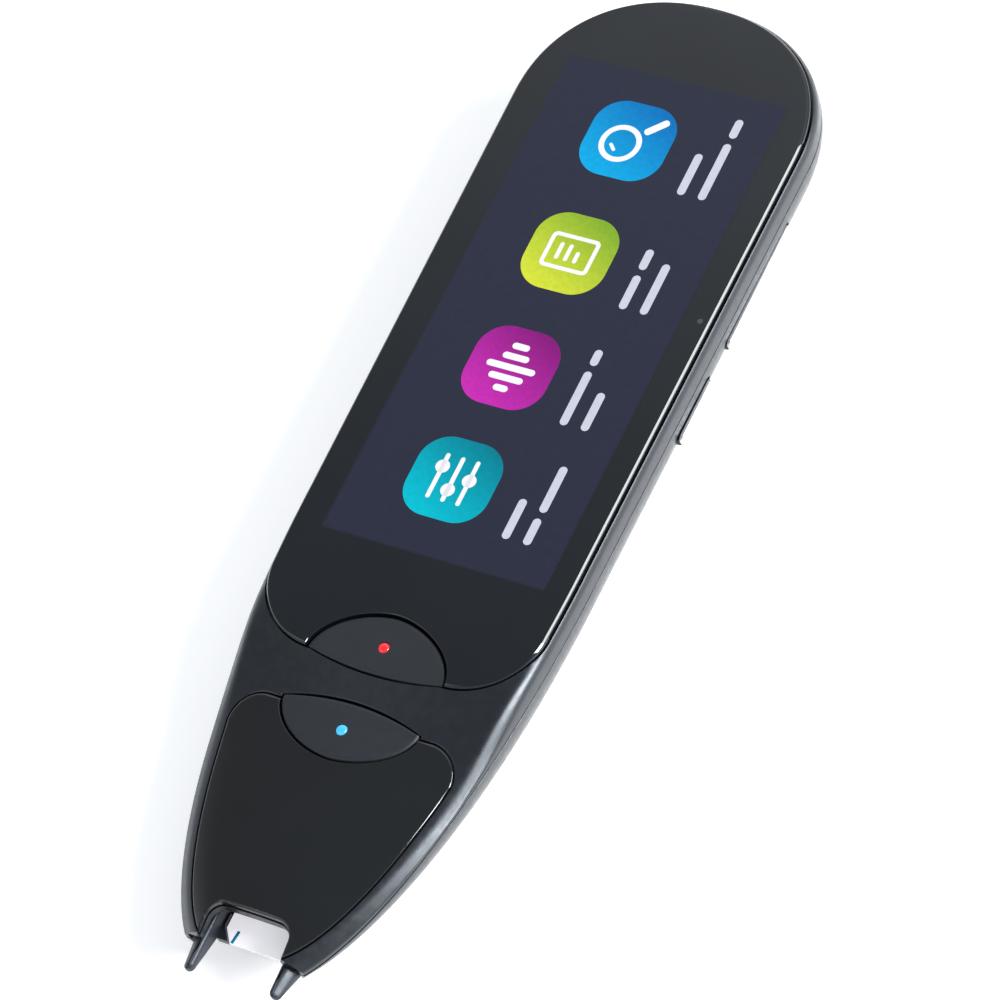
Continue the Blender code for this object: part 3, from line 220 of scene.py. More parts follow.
MARK_CORNER = 0.1 * MM
MARK_DEPTH = 0.05 * MM
MARK_RISE = 0.02 * MM
WINDOW_EDGE = mm(((0.0, 0.2), (0.05, 0.06), (0.18, 0.0)))
PRONG_STEPS = 10
PRONG_END_STEPS = 7
PRONG_END_BLUNT = (0.12, 0.45)
NOSE_CUT_Y = -70.8 * MM
TIP_SLOT_SIDE = ARM_INNER + ARM_FRONT_THICKNESS + KEY_GAP

# Side keys
SIDE_KEY_Z = 6.0 * MM
SIDE_KEY_HEIGHT = 2.3 * MM
SIDE_KEY_PROUD = 0.4 * MM
SIDE_KEY_SLOPE = 0.75 * MM
SIDE_KEY_FLANGE_X = 18.5 * MM
SIDE_KEY_FLANGE = 0.6 * MM
SIDE_KEY_LAP = 0.3 * MM
SIDE_KEY_CORNER = 0.7 * MM
SIDE_SLOT_GAP = 0.42 * MM
SIDE_KEY_EDGE = mm(((0.0, 0.45), (0.08, 0.25), (0.22, 0.11), (0.42, 0.03), (0.62, 0.0)))
VOLUME_Y = 40.85 * MM
VOLUME_LENGTH = 20.4 * MM
POWER_Y = 19.85 * MM
POWER_LENGTH = 10.2 * MM

# Openings and screws of the rear cover
BOARD_UNDERSIDE = 7.4 * MM
USB_SIZE = mm((9.0, 7.2, 3.2))
USB_FRONT_Y = 77.2 * MM
USB_DEPTH = 5.4 * MM
USB_WALL = 0.35 * MM
USB_LIP = 0.08 * MM
USB_PITCH = 0.5 * MM
USB_PAD = mm((0.13, 0.03))
USB_TONGUE = mm((6.4, 4.4, 0.7))
SPEAKER_Y = 50.5 * MM
GRILLE_HOLE_RADIUS = 0.6 * MM
GRILLE_PITCH = 2.2 * MM
GRILLE_COLUMNS = 5
GRILLE_ROWS = 2
GRILLE_FLARE = 0.12 * MM
RECESS_FLARE = 0.15 * MM
REAR_BOSS_RADIUS = 2.6 * MM
REAR_BOSS_TOP = 5.0 * MM
SCREW_TOP = 8.6 * MM
MICROPHONE_X = -9.0 * MM
MICROPHONE_HOLE_RADIUS = 0.5 * MM
MICROPHONE_Y = 71.5 * MM
MICROPHONE_Z = 6.85 * MM
SCREW_HEAD_RADIUS = 1.7 * MM
SCREW_HEAD_HEIGHT = 0.8 * MM
SCREW_HEAD_LOW = 0.5 * MM
SCREW_SHANK_RADIUS = 0.85 * MM
SCREW_DOME = ((0.55, 0.03 * MM), (0.85, 0.12 * MM), (0.97, 0.26 * MM), (1.0, 0.4 * MM))
SCREW_RIDGES = 9
SCREW_RIDGE_DEPTH = 0.82
SCREW_CROSS = mm((0.0, 0.0, 0.98, 0.2, 0.1))
SCREW_CROSS_FOOT = mm((0.0, 0.0, 0.5, 0.12, 0.1))
SCREW_CROSS_TURN = 0.3
SCREW_PLACES = mm(((8.5, 62.0), (11.3, 17.5), (8.0, -49.0)))

# Camera
LENS = 185.86692
CAMERA_PLACE = (0.29036814, -0.27371031, 0.57686466)
CAMERA_TURN = (
    (0.87518728, -0.24874833, 0.41493380),
    (0.41884476, 0.81881624, -0.39257318),
    (-0.24211, 0.51736, 0.8208),
)

# Colours and light
BLACK = (0.0, 0.0, 0.0)
GLASS_COLOUR = (0.003, 0.0045, 0.0065)
PANEL_COLOUR = (0.004, 0.005, 0.006)
CASING_COLOUR = (0.0048, 0.006, 0.0082)
KEY_COLOUR = (0.005, 0.0062, 0.0085)
TIP_COLOUR = (0.015, 0.017, 0.024)
SATIN_TINT = (0.84, 0.92, 1.0, 1.0)
# Painted light on the scan window: the colour of its glow, the glow's strength on its left and right sides,
# and the shares of its thickness over which the glow rises from dim at the foot to full at the top
WINDOW_PAINTED_LIGHT_COLOUR = (0.93, 0.91, 0.96)
WINDOW_PAINTED_LIGHT = (0.7, 0.34)
WINDOW_PAINTED_LIGHT_RISE = (0.6, 0.97)
# Painted shade where the side keys sink into their slots
SIDE_KEY_PAINTED_SHADE = (0.01, 0.01, 0.012)
PICTURE_COLOUR = (41, 43, 61)
SCREEN_SHINE = 0.15
TILE_DIRECTION = (0.45, 0.89)
TILE_COLOURS = (
    ((0, 172, 228), (0, 100, 178)),
    ((215, 225, 60), (112, 162, 44)),
    ((200, 45, 180), (120, 20, 112)),
    ((0, 190, 210), (0, 114, 134)),
)
STUDIO_COLOUR = (0.95, 0.98, 1.03)
CEILING_RISE = (0.34, 0.62)
CEILING_LEVELS = (0.38, 1.6)
WALL_RISE = (0.35, 0.6)
FLOOR_COLOUR = (0.96, 0.98, 1.0)
FLOOR_GLOW = 0.38
FLOOR_SHEEN = (0.5, 0.85)
FLOOR_LEVEL = -0.2 * MM
FLOOR_REACH = 3.0
LAMPS = (
    ("front_lamp", (-0.9, -1.1, 1.3), (1.2, 1.2), 10.0),
    ("right_lamp", (1.28, 0.63, 0.64), (0.62, 0.55), 20.0),
    ("nose_lamp", (1.29, 0.18, 0.76), (0.3, 0.75), 31.0),
)


# Shapes that follow the casing

def nose_share(y):
    """0 up to the bend of the nose, 1 at the far end of the casing outline."""
    along = (NOSE_BEND_Y - y) / (NOSE_BEND_Y + HALF_LENGTH)
    return max(0.0, along) ** 2


def half_width_at(y):
    """Half width of the casing outline on the nose side of its widest stretch."""
    along = min(1.0, max(0.0, (NOSE_ARC_LENGTH - HALF_LENGTH - y) / NOSE_ARC_LENGTH))
    return WAIST_HALF_WIDTH * (1.0 - along ** NOSE_LENGTH_POWER) ** (1 / NOSE_WIDTH_POWER)


def face_at(x, y):
    """Height of the face: toward the nose it falls, and it crowns from side to side."""
    along = min(1.0, max(0.0, (CROWN_START_Y - y) / (CROWN_START_Y - CROWN_END_Y)))
    crown = CROWN * along * along * (3.0 - 2.0 * along)
    across = min(1.0, abs(x) / max(half_width_at(y), WALL))
    return FACE_HEIGHT - NOSE_DROP * nose_share(y) - crown * across * across


def bent(z, x, y):
    """Height of a level of the casing at a place: the back rises and the face falls toward the nose."""
    parting = PARTING_HEIGHT - NOSE_PARTING_DROP * nose_share(y)
    back = NOSE_LIFT * nose_share(y)
    if z < PARTING_HEIGHT:
        return back + (parting - back) * z / PARTING_HEIGHT
    return parting + (face_at(x, y) - parting) * (z - PARTING_HEIGHT) / (FACE_HEIGHT - PARTING_HEIGHT)


def level(z):
    return lambda x, y: z


def bent_level(z, offset=0.0):
    return lambda x, y: bent(z, x, y) + offset


def rim_level(below, nose_below):
    """Height on the rim, which slopes more evenly at the nose than beside the glass."""
    start, end = RIM_TURN_Y

    def height(x, y):
        share = min(1.0, max(0.0, (start - y) / (start - end)))
        share *= share * (3.0 - 2.0 * share)
        return bent(FACE_HEIGHT - below - (nose_below - below) * share, x, y)
    return height


def arc(x, y, radius, angles):
    """Points on a circle about a place."""
    return [(x + radius * math.cos(angle), y + radius * math.sin(angle)) for angle in angles]


def bow(wide, rise, power, steps):
    """A quarter of a superellipse from its side to its crown."""
    points = []
    for step in range(steps):
        angle = math.pi / 2 * step / steps
        points.append((wide * math.cos(angle) ** (2 / power), rise * math.sin(angle) ** (2 / power)))
    return [*points, (0.0, rise)]


def casing_half(inset=0.0):
    """The right half of the casing outline from the nose to the rounded end, drawn in by the inset."""
    nose_y = NOSE_ARC_LENGTH - HALF_LENGTH
    top_y = HALF_LENGTH - TOP_ARC_LENGTH
    points = []
    for step in range(NOSE_STEPS):
        angle = math.pi / 2 * (1.0 - step / NOSE_STEPS)
        x = WAIST_HALF_WIDTH * math.cos(angle) ** (2 / NOSE_WIDTH_POWER)
        y = nose_y - NOSE_ARC_LENGTH * math.sin(angle) ** (2 / NOSE_LENGTH_POWER)
        points.append((x if step else 0.0, y))
    for step in range(SIDE_STEPS):
        share = step / SIDE_STEPS
        x = WAIST_HALF_WIDTH + (TOP_HALF_WIDTH - WAIST_HALF_WIDTH) * share
        points.append((x, nose_y + (top_y - nose_y) * share))
    points += [(x, top_y + y) for x, y in bow(TOP_HALF_WIDTH, TOP_ARC_LENGTH, TOP_POWER, TOP_STEPS)]
    across = 1.0 - inset / TOP_HALF_WIDTH
    along = 1.0 - inset / HALF_LENGTH
    return [(x * across, y * along) for x, y in points]


def between(points, low, high):
    """The stretch of a half outline between two places along the pen, with an exact point at each end."""
    kept = []
    for (x0, y0), (x1, y1) in zip(points, points[1:]):
        for limit in (low, high):
            if y0 < limit < y1:
                share = (limit - y0) / (y1 - y0)
                kept.append((x0 + (x1 - x0) * share, limit))
        if low < y1 < high:
            kept.append((x1, y1))
    if low < points[0][1]:
        kept.insert(0, points[0])
    return kept


def key_half(y, half_width, crown, sag, grow=0.0):
    """Right half outline of a front key, from its lowest point to its highest. The crown may point down."""
    wide = half_width + grow
    points = []
    for step in range(KEY_ARC_STEPS):
        share = step / KEY_ARC_STEPS
        points.append((wide * share, -(sag + grow) * (1.0 - share * share)))
    points += bow(wide, abs(crown) + grow, KEY_POWER, KEY_ARC_STEPS)
    if crown < 0.0:
        points = [(x, -v) for x, v in points[::-1]]
    return [(x, y + v) for x, v in points]


def upper_key_half(grow=0.0):
    return key_half(UPPER_KEY_Y, UPPER_KEY_HALF_WIDTH, UPPER_KEY_CROWN, UPPER_KEY_SAG, grow)


def lower_key_half(grow=0.0):
    return key_half(LOWER_KEY_Y, LOWER_KEY_HALF_WIDTH, -LOWER_KEY_CROWN, LOWER_KEY_SAG, grow)


def arch_half(grow=0.0):
    """Right half of the nose opening, from outside the nose up to its crown."""
    wide = ARCH_HALF_WIDTH + grow
    corner = ARCH_CORNER + grow
    angles = [math.pi / 2 * step / (CORNER_STEPS - 1) for step in range(CORNER_STEPS)]
    return [(wide, -HALF_LENGTH - OVERRUN), *arc(wide - corner, ARCH_Y + grow - corner, corner, angles)]


def glass_half(grow=0.0):
    """Right half of the screen glass before the upper key is cut out of it."""
    corner_y = GLASS_END_Y + GLASS_CORNER
    upper = between(casing_half(GLASS_INSET - grow), corner_y, HALF_LENGTH)
    reach = GLASS_CORNER + grow
    angles = [-math.pi / 2 * (1.0 - step / CORNER_STEPS) for step in range(CORNER_STEPS)]
    return arc(upper[0][0] - reach, corner_y, reach, angles) + upper


def panel_half(grow=0.0):
    """Right half of the lower panel before the key and the nose opening are cut out of it."""
    corner_y = PANEL_TOP_Y - PANEL_CORNER
    lower = between(casing_half(PANEL_INSET - grow), -HALF_LENGTH - OVERRUN, corner_y)
    reach = PANEL_CORNER + grow
    angles = [math.pi / 2 * step / CORNER_STEPS for step in range(1, CORNER_STEPS + 1)]
    return lower + arc(lower[-1][0] - reach, corner_y, reach, angles)


def window_half(grow=0.0):
    """Right half of the scan window, with its front corner cut away."""
    wide = WINDOW_HALF_WIDTH + grow
    front = WINDOW_FRONT_Y - grow
    return [
        (wide - WINDOW_CHAMFER_WIDTH, front),
        (wide, front + WINDOW_CHAMFER_LENGTH),
        (wide, WINDOW_FRONT_Y + WINDOW_LENGTH + grow),
    ]


def mirrored(places):
    """Each place and its twin on the other side of the centre line."""
    return [(side * x, y) for x, y in places for side in (1.0, -1.0)]


def back_level(angle):
    """Inset and height of the rounded back: 0 at the parting line, a right angle at the flat back."""
    return BACK_ROUND * (1.0 - math.cos(angle)), PARTING_HEIGHT * (1.0 - math.sin(angle))


def back_inset(z):
    """How far the outside of the rounded back is drawn in at a height."""
    sine = 1.0 - z / PARTING_HEIGHT
    return BACK_ROUND * (1.0 - math.sqrt(1.0 - sine * sine))


# Mesh making

def finish_mesh(name, bm):
    """Turn the mesh under construction into an object, smooth but for its sharp edges."""
    bmesh.ops.recalc_face_normals(bm, faces=bm.faces)
    mesh = bpy.data.meshes.new(name)
    bm.to_mesh(mesh)
    bm.free()
    mesh.shade_smooth()
    mesh.set_sharp_from_angle(angle=SHARP_ANGLE)
    made = bpy.data.objects.new(name, mesh)
    bpy.context.scene.collection.objects.link(made)
    return made


def settled(target):
    """Keep the target's mesh as its modifiers leave it."""
    evaluated = target.evaluated_get(bpy.context.evaluated_depsgraph_get())
    mesh = bpy.data.meshes.new_from_object(evaluated)
    target.modifiers.clear()
    target.data = mesh
    return target


def shaded(target):
    """Smooth shading that keeps large faces flat, so that a cut leaves no streaks beside it."""
    bm = bmesh.new()
    bm.from_mesh(target.data)
    bmesh.ops.remove_doubles(bm, verts=bm.verts, dist=TINY)
    bmesh.ops.dissolve_degenerate(bm, edges=bm.edges, dist=TINY)
    bm.to_mesh(target.data)
    bm.free()
    target.data.shade_smooth()
    target.data.set_sharp_from_angle(angle=SHARP_ANGLE)
    step = target.modifiers.new("normals", "WEIGHTED_NORMAL")
    step.weight = 50
    step.keep_sharp = True
    return settled(target)


def loop(half, height):
    """A closed loop of points from a right half outline, and the index pairs that face each other."""
    right = [(x, y, height(x, y)) for x, y in half]
    left = [(-x, y, height(x, y)) for x, y in half if x > 0.0]
    points = right + left[::-1]
    pairs = []
    opposite = len(points) - 1
    for index, (x, _) in enumerate(half):
        if x > 0.0:
            pairs.append((index, opposite))
            opposite -= 1
        else:
            pairs.append((index, index))
    return points, pairs


def bridge(bm, low, high):
    """Faces between two closed rings with the same count of points."""
    for i in range(len(low)):
        j = (i + 1) % len(low)
        bm.faces.new((low[i], low[j], high[j], high[i]))


def cap(bm, ring, half, pairs, height):
    """Close a ring with rows of faces from side to side that follow the crown of the face."""
    shares = [2.0 * column / CROWN_COLUMNS - 1.0 for column in range(1, CROWN_COLUMNS)]
    rows = []
    for step, ((x, y), (right, left)) in enumerate(zip(half, pairs)):
        if right == left:
            rows.append([ring[right]])
        elif step in (0, len(half) - 1):
            rows.append([ring[left], ring[right]])
        else:
            inner = [bm.verts.new((x * share, y, height(x * share, y))) for share in shares]
            rows.append([ring[left], *inner, ring[right]])
    for near, far in zip(rows, rows[1:]):
        if len(near) != len(far):
            bm.faces.new(near + far[::-1])
            continue
        for i in range(len(near) - 1):
            bm.faces.new((near[i], near[i + 1], far[i + 1], far[i]))


def stack(name, layers, crowned=False):
    """A closed body through layers of mirrored outlines: each layer is a half outline and its heights."""
    bm = bmesh.new()
    rings = []
    for half, height in layers:
        points, pairs = loop(half, height)
        rings.append([bm.verts.new(p) for p in points])
    for low, high in zip(rings, rings[1:]):
        bridge(bm, low, high)
    for ring, (half, height) in ((rings[0], layers[0]), (rings[-1], layers[-1])):
        if crowned:
            cap(bm, ring, half, pairs, height)
            continue
        for (a, d), (b, c) in zip(pairs, pairs[1:]):
            bm.faces.new([ring[k] for k in dict.fromkeys((a, b, c, d))])
    return finish_mesh(name, bm)


def prism(name, half, low, high):
    return stack(name, [(half, level(low)), (half, level(high))])


def box(name, low, high):
    bm = bmesh.new()
    bmesh.ops.create_cube(bm, size=1.0)
    for vert in bm.verts:
        vert.co = [l if c < 0 else h for l, h, c in zip(low, high, vert.co)]
    return finish_mesh(name, bm)


def sweep(name, rings):
    """A closed body through rings of points, with a flat face at each end."""
    bm = bmesh.new()
    made = [[bm.verts.new(p) for p in ring] for ring in rings]
    for low, high in zip(made, made[1:]):
        bridge(bm, low, high)
    bm.faces.new(made[0])
    bm.faces.new(made[-1])
    return finish_mesh(name, bm)


def along_x(name, outline, stations):
    return sweep(name, [[(x, a, b) for a, b in outline] for x in stations])


def along_y(name, outline, stations):
    return sweep(name, [[(a, y, b) for a, b in outline] for y in stations])


def plate(name, outline, low, high):
    return sweep(name, [[(x, y, z) for x, y in outline] for z in (low, high)])


def circle(cx, cy, radius, steps=40):
    return arc(cx, cy, radius, [2.0 * math.pi * step / steps for step in range(steps)])


def rounded(cx, cy, half_x, half_y, radius, steps=8):
    """A rectangle with round corners, as a closed outline."""
    radius = min(radius, half_x, half_y)
    points = []
    for quarter, (sx, sy) in enumerate(((1, 1), (-1, 1), (-1, -1), (1, -1))):
        points += arc(cx + sx * (half_x - radius), cy + sy * (half_y - radius), radius,
                      [math.pi / 2 * (quarter + step / steps) for step in range(steps + 1)])
    return points


def turned(name, profile, x, y, steps=48):
    """A round body about a vertical axis. The profile lists radius and height."""
    return sweep(name, [[(a, b, height) for a, b in circle(x, y, radius, steps)]
                        for radius, height in profile])


def carve(target, cutters):
    """Cut all the cutters out of the target and keep the result as its mesh."""
    group = bpy.data.collections.new("cutters")
    bpy.context.scene.collection.children.link(group)
    for cutter in cutters:
        bpy.context.scene.collection.objects.unlink(cutter)
        group.objects.link(cutter)
    step = target.modifiers.new("cuts", "BOOLEAN")
    step.operation = "DIFFERENCE"
    step.operand_type = "COLLECTION"
    step.collection = group
    step.solver = "EXACT"
    settled(target)
    for cutter in cutters:
        bpy.data.objects.remove(cutter)
    bpy.data.collections.remove(group)
    return shaded(target)


def combine(target, parts):
    """Merge the parts into the target and keep the result as its mesh."""
    for part in parts:
        step = target.modifiers.new(part.name, "BOOLEAN")
        step.operation = "UNION"
        step.object = part
        step.solver = "EXACT"
    settled(target)
    for part in parts:
        bpy.data.objects.remove(part)
    return target


def post(name, x, y, low, high, radius):
    return turned(name, [(radius, low), (radius, high)], x, y)


def mouth(name, x, y, back, reach, radius, flare, steps=48):
    """A cutter for a round hole from the back, with a flared mouth."""
    wide = radius + 2.0 * flare
    profile = [(wide, back - OVERRUN), (wide, back - flare), (radius, back + flare), (radius, reach)]
    return turned(name, profile, x, y, steps)


def flared(name, half_of, gap, face, flare=0.22 * MM, foot=PARTING_HEIGHT):
    """A cutter for a hole in the face, whose edge is rounded a little where it meets the face."""
    layers = [(half_of(gap), level(foot))]
    for reach, below in FLARE_STEPS:
        layers.append((half_of(gap + reach * flare), bent_level(face - below * flare)))
    lip = half_of(gap + FLARE_REACH * flare)
    layers += [(lip, bent_level(face + LIP_RISE)), (lip, level(GLASS_HEIGHT + OVERRUN))]
    return stack(name, layers, crowned=True)


def lipped(name, half_of, gap, lip, foot):
    """A cutter for a hole in the face, with a narrow slanted lip."""
    lower, upper = half_of(gap), half_of(gap + lip)
    return stack(name, [
        (lower, foot), (lower, bent_level(FACE_HEIGHT - lip)), (upper, bent_level(FACE_HEIGHT + LIP_RISE)),
        (upper, level(GLASS_HEIGHT + OVERRUN))], crowned=True)


def edged(half_of, edge, top, height=bent_level):
    """Layers that draw in along a soft edge, which lists how far in and how far below the top."""
    return [(half_of(-inset), height(top - below)) for inset, below in edge]


# Materials

def feed(tree, socket, value):
    """Give a socket a value, or the output of another node."""
    if isinstance(value, bpy.types.NodeSocket):
        tree.links.new(value, socket)
    else:
        socket.default_value = value


def wired(tree, kind, inputs=(), **settings):
    """The outputs of a new node with its settings made and its inputs fed."""
    made = tree.nodes.new("ShaderNode" + kind)
    for key, value in settings.items():
        setattr(made, key, value)
    for socket, value in dict(inputs).items():
        feed(tree, made.inputs[socket], value)
    return made.outputs


def ranged(tree, source, start, end, low, high, **settings):
    """The source between start and end, spread from low to high and held there outside them."""
    ends = {"From Min": start, "From Max": end, "To Min": low, "To Max": high}
    return wired(tree, "MapRange", {"Value": source, **ends}, **settings)["Result"]


class Finish:
    """A procedural material under construction: a Principled shader and the nodes that feed it."""

    def __init__(self, name):
        self.material = bpy.data.materials.new(name)
        self.material.use_nodes = True
        self.tree = self.material.node_tree
        self.shader = self.tree.nodes["Principled BSDF"]
        self.place = self.node("TexCoord")["Object"]

    def node(self, kind, inputs=(), **settings):
        return wired(self.tree, kind, inputs, **settings)

    def set(self, **values):
        for key, value in values.items():
            feed(self.tree, self.shader.inputs[key.replace("_", " ")], value)
        return self

    def noise(self, scale, detail=3.0, stretch=None):
        """Noise by the place on the object. The scale is in grains per metre."""
        place = self.place
        if stretch:
            place = self.node("Mapping", {"Scale": stretch, "Vector": place})["Vector"]
        return self.node("TexNoise", {"Scale": scale, "Detail": detail, "Vector": place})["Fac"]

    def ranged(self, source, low, high, start=0.3, end=0.7):
        return ranged(self.tree, source, start, end, low, high)

    def mixed(self, factor, first, second):
        first, second = ((*end, 1.0) if isinstance(end, tuple) else end for end in (first, second))
        return self.node("Mix", {"Factor": factor, 6: first, 7: second}, data_type="RGBA")[2]

    def math(self, operation, *values):
        return self.node("Math", enumerate(values), operation=operation)["Value"]

    def mottled(self, colour, amount=0.12, scale=260.0):
        """The base colour, a little darker and lighter from place to place."""
        dark = tuple(c * (1.0 - amount) for c in colour)
        light = tuple(min(1.0, c * (1.0 + amount)) for c in colour)
        self.tint = self.mixed(self.ranged(self.noise(scale), 0.0, 1.0), dark, light)
        return self.set(Base_Color=self.tint)

    def rough(self, low, high, scale=900.0, stretch=None):
        return self.set(Roughness=self.ranged(self.noise(scale, 4.0, stretch), low, high))

    def bump(self, height, distance, strength, rounding=0.05 * MM):
        """Relief in metres, over edges that are rounded a little where the metal or plastic turns."""
        bevel = self.node("Bevel", {"Radius": rounding}, samples=4)["Normal"]
        relief = {"Strength": strength, "Distance": distance, "Height": height, "Normal": bevel}
        return self.set(Normal=self.node("Bump", relief)["Normal"])


def srgb(r, g, b):
    """Linear colour from screen values between 0 and 255."""
    def linear(value):
        value /= 255.0
        return value / 12.92 if value <= 0.04045 else ((value + 0.055) / 1.055) ** 2.4
    return linear(r), linear(g), linear(b)


def painted(name, colour, roughness, grain, relief=0.004):
    """Satin paint or moulded plastic with a fine grain, whose relief is given in millimetres."""
    made = Finish(name).mottled(colour, 0.08).rough(roughness - 0.05, roughness + 0.05)
    return made.bump(made.noise(grain, 2.0), relief * MM, 0.6)


def polished(name, colour, roughness, ior=1.5):
    """Glossy glass or plastic with the faint waves and dust-fine smears of a wiped surface."""
    made = Finish(name).mottled(colour, 0.15, 60.0).set(IOR=ior).rough(roughness, roughness + 0.04, 120.0)
    return made.bump(made.noise(70.0, 1.0), 0.01 * MM, 0.05, 0.04 * MM)


def metal(name, colour, roughness, stretch=(1.0, 14.0, 1.0)):
    """Metal brushed along one direction."""
    made = Finish(name).mottled(colour, 0.1, 400.0).set(Metallic=1.0)
    made.rough(roughness - 0.06, roughness + 0.1, 1800.0, stretch)
    return made.bump(made.noise(2600.0, 3.0, stretch), 0.004 * MM, 0.5)


def glowing(name, colour, strength, roughness=0.06, shine=0.2):
    """A lit part of the picture under the glass: mostly its own light, with the gloss of the glass."""
    made = Finish(name).mottled(tuple(c * 0.25 for c in colour), 0.1, 900.0)
    made.rough(roughness, roughness + 0.03, 120.0)
    return made.set(Emission_Color=(*colour, 1.0), Emission_Strength=strength, Specular_IOR_Level=shine)


# Casing

def parting(side):
    """Layers of a shell at the parting line: its small outer chamfer and the flat foot of its wall."""
    foot = side * PARTING_GAP / 2
    return [
        (casing_half(), bent_level(PARTING_HEIGHT, foot + side * PARTING_EDGE)),
        (casing_half(PARTING_EDGE), bent_level(PARTING_HEIGHT, foot)),
        (casing_half(WALL), bent_level(PARTING_HEIGHT, foot)),
    ]


def rear_shell():
    """The rounded back with its bosses, its openings and the shelf under the scan window."""
    layers = []
    inside = (PARTING_HEIGHT - WALL) / PARTING_HEIGHT
    steps = [back_level(math.pi / 2 * step / BACK_STEPS) for step in range(1, BACK_STEPS + 1)]
    for inset, z in steps[::-1]:
        layers.append((casing_half(WALL + inset * inside), bent_level(WALL + z * inside)))
    layers += parting(-1.0)[::-1]
    layers += [(casing_half(inset), bent_level(z)) for inset, z in steps]
    shell = stack("rear_shell", layers)
    screws = list(enumerate(mirrored(SCREW_PLACES)))
    combine(shell, [
        post(f"boss_{index}", x, y, bent(WALL, x, y) - WALL / 2, REAR_BOSS_TOP, REAR_BOSS_RADIUS)
        for index, (x, y) in screws])
    outside = TOP_HALF_WIDTH + OVERRUN
    nose_end = -HALF_LENGTH - OVERRUN
    top = PARTING_HEIGHT + OVERRUN
    cutters = []
    for index, (x, y) in screws:
        reach = bent(SCREW_HEAD_LOW + SCREW_HEAD_HEIGHT + SEAT_GAP, x, y)
        cutters.append(mouth(f"recess_{index}", x, y, bent(0.0, x, y), reach, SCREW_HEAD_RADIUS + SEAT_GAP,
                             RECESS_FLARE))
        cutters.append(post(f"shank_{index}", x, y, 0.0, REAR_BOSS_TOP + OVERRUN,
                            SCREW_SHANK_RADIUS + SEAT_GAP))
    cutters.append(box("nose_cut", (-TIP_SLOT_SIDE, nose_end, -OVERRUN), (TIP_SLOT_SIDE, NOSE_CUT_Y, top)))
    cutters.append(box("nose_end_cut", (-outside, nose_end, -OVERRUN), (outside, CHEEK_END_Y, top)))
    for name, y, length in (("volume_slot", VOLUME_Y, VOLUME_LENGTH), ("power_slot", POWER_Y, POWER_LENGTH)):
        outline = rounded(y, SIDE_KEY_Z, length / 2 + SIDE_SLOT_GAP, SIDE_KEY_HEIGHT / 2 + SIDE_SLOT_GAP,
                          SIDE_KEY_CORNER + SIDE_SLOT_GAP)
        cutters.append(along_x(name, outline, (SIDE_KEY_FLANGE_X, outside)))
    wide, _, tall = USB_SIZE
    outline = rounded(0.0, BOARD_UNDERSIDE - tall / 2, wide / 2 + SEAT_GAP, tall / 2 + SEAT_GAP, tall / 2)
    cutters.append(along_y("usb_slot", outline, (USB_FRONT_Y - USB_DEPTH, HALF_LENGTH + OVERRUN)))
    hole = circle(MICROPHONE_X, MICROPHONE_Z, MICROPHONE_HOLE_RADIUS, 24)
    cutters.append(along_y("microphone_hole", hole, (MICROPHONE_Y, HALF_LENGTH + OVERRUN)))
    for column in range(GRILLE_COLUMNS):
        for row in range(GRILLE_ROWS):
            x = GRILLE_PITCH * (column - (GRILLE_COLUMNS - 1) / 2)
            y = SPEAKER_Y + GRILLE_PITCH * (row - (GRILLE_ROWS - 1) / 2)
            cutters.append(mouth(f"grille_{column}_{row}", x, y, 0.0, WALL + OVERRUN, GRILLE_HOLE_RADIUS,
                                 GRILLE_FLARE, 24))
    carve(shell, cutters)
    shelf_top = WINDOW_LOW - WINDOW_SHELF_GAP
    outline = rounded(0.0, WINDOW_FRONT_Y + WINDOW_SHELF_SETBACK + WINDOW_SHELF_DEPTH / 2,
                      WINDOW_SHELF_HALF_WIDTH, WINDOW_SHELF_DEPTH / 2, WINDOW_SHELF_CORNER)
    return shaded(combine(shell, [plate("shelf", outline, shelf_top - WINDOW_SHELF_THICKNESS, shelf_top)]))


def front_shell():
    """The front frame with its rounded rim, its pockets and its openings."""
    layers = [(casing_half(inset), rim_level(*depths)) for inset, *depths in RIM_STEPS[::-1]]
    ceiling = (casing_half(WALL), bent_level(CEILING))
    shell = stack("front_shell", [*layers, *parting(1.0), ceiling], crowned=True)
    top = GLASS_HEIGHT + OVERRUN
    seat = FACE_HEIGHT + PANEL_PROUD - PANEL_THICKNESS - SEAT_GAP
    outside = TOP_HALF_WIDTH + OVERRUN
    nose_end = -HALF_LENGTH - OVERRUN
    foot = PARTING_HEIGHT - OVERRUN
    half_width, half_length = (size / 2 + SEAT_GAP for size in DISPLAY_SIZE)
    x, y = DISPLAY_CENTRE
    return carve(shell, [
        prism("glass_pocket", glass_half(GLASS_EDGE_GAP), GLASS_LEDGE, top),
        lipped("panel_pocket", panel_half, KEY_GAP, PANEL_LIP, bent_level(seat)),
        box("display_window", (x - half_width, y - half_length, PARTING_HEIGHT),
            (x + half_width, y + half_length, top)),
        flared("upper_key_hole", upper_key_half, KEY_GAP, FACE_HEIGHT),
        flared("lower_key_hole", lower_key_half, KEY_GAP, FACE_HEIGHT),
        lipped("arch_cut", arch_half, 0.0, ARCH_LIP, level(foot)),
        box("cheek_end_cut", (-outside, nose_end, foot), (outside, CHEEK_END_Y, top)),
        box("tip_slot", (-TIP_SLOT_SIDE, nose_end, foot),
            (TIP_SLOT_SIDE, ARM_STEP_Y + TIP_TRAVEL + SEAT_GAP, ARM_HIGH + SEAT_GAP)),
    ])


# Screen

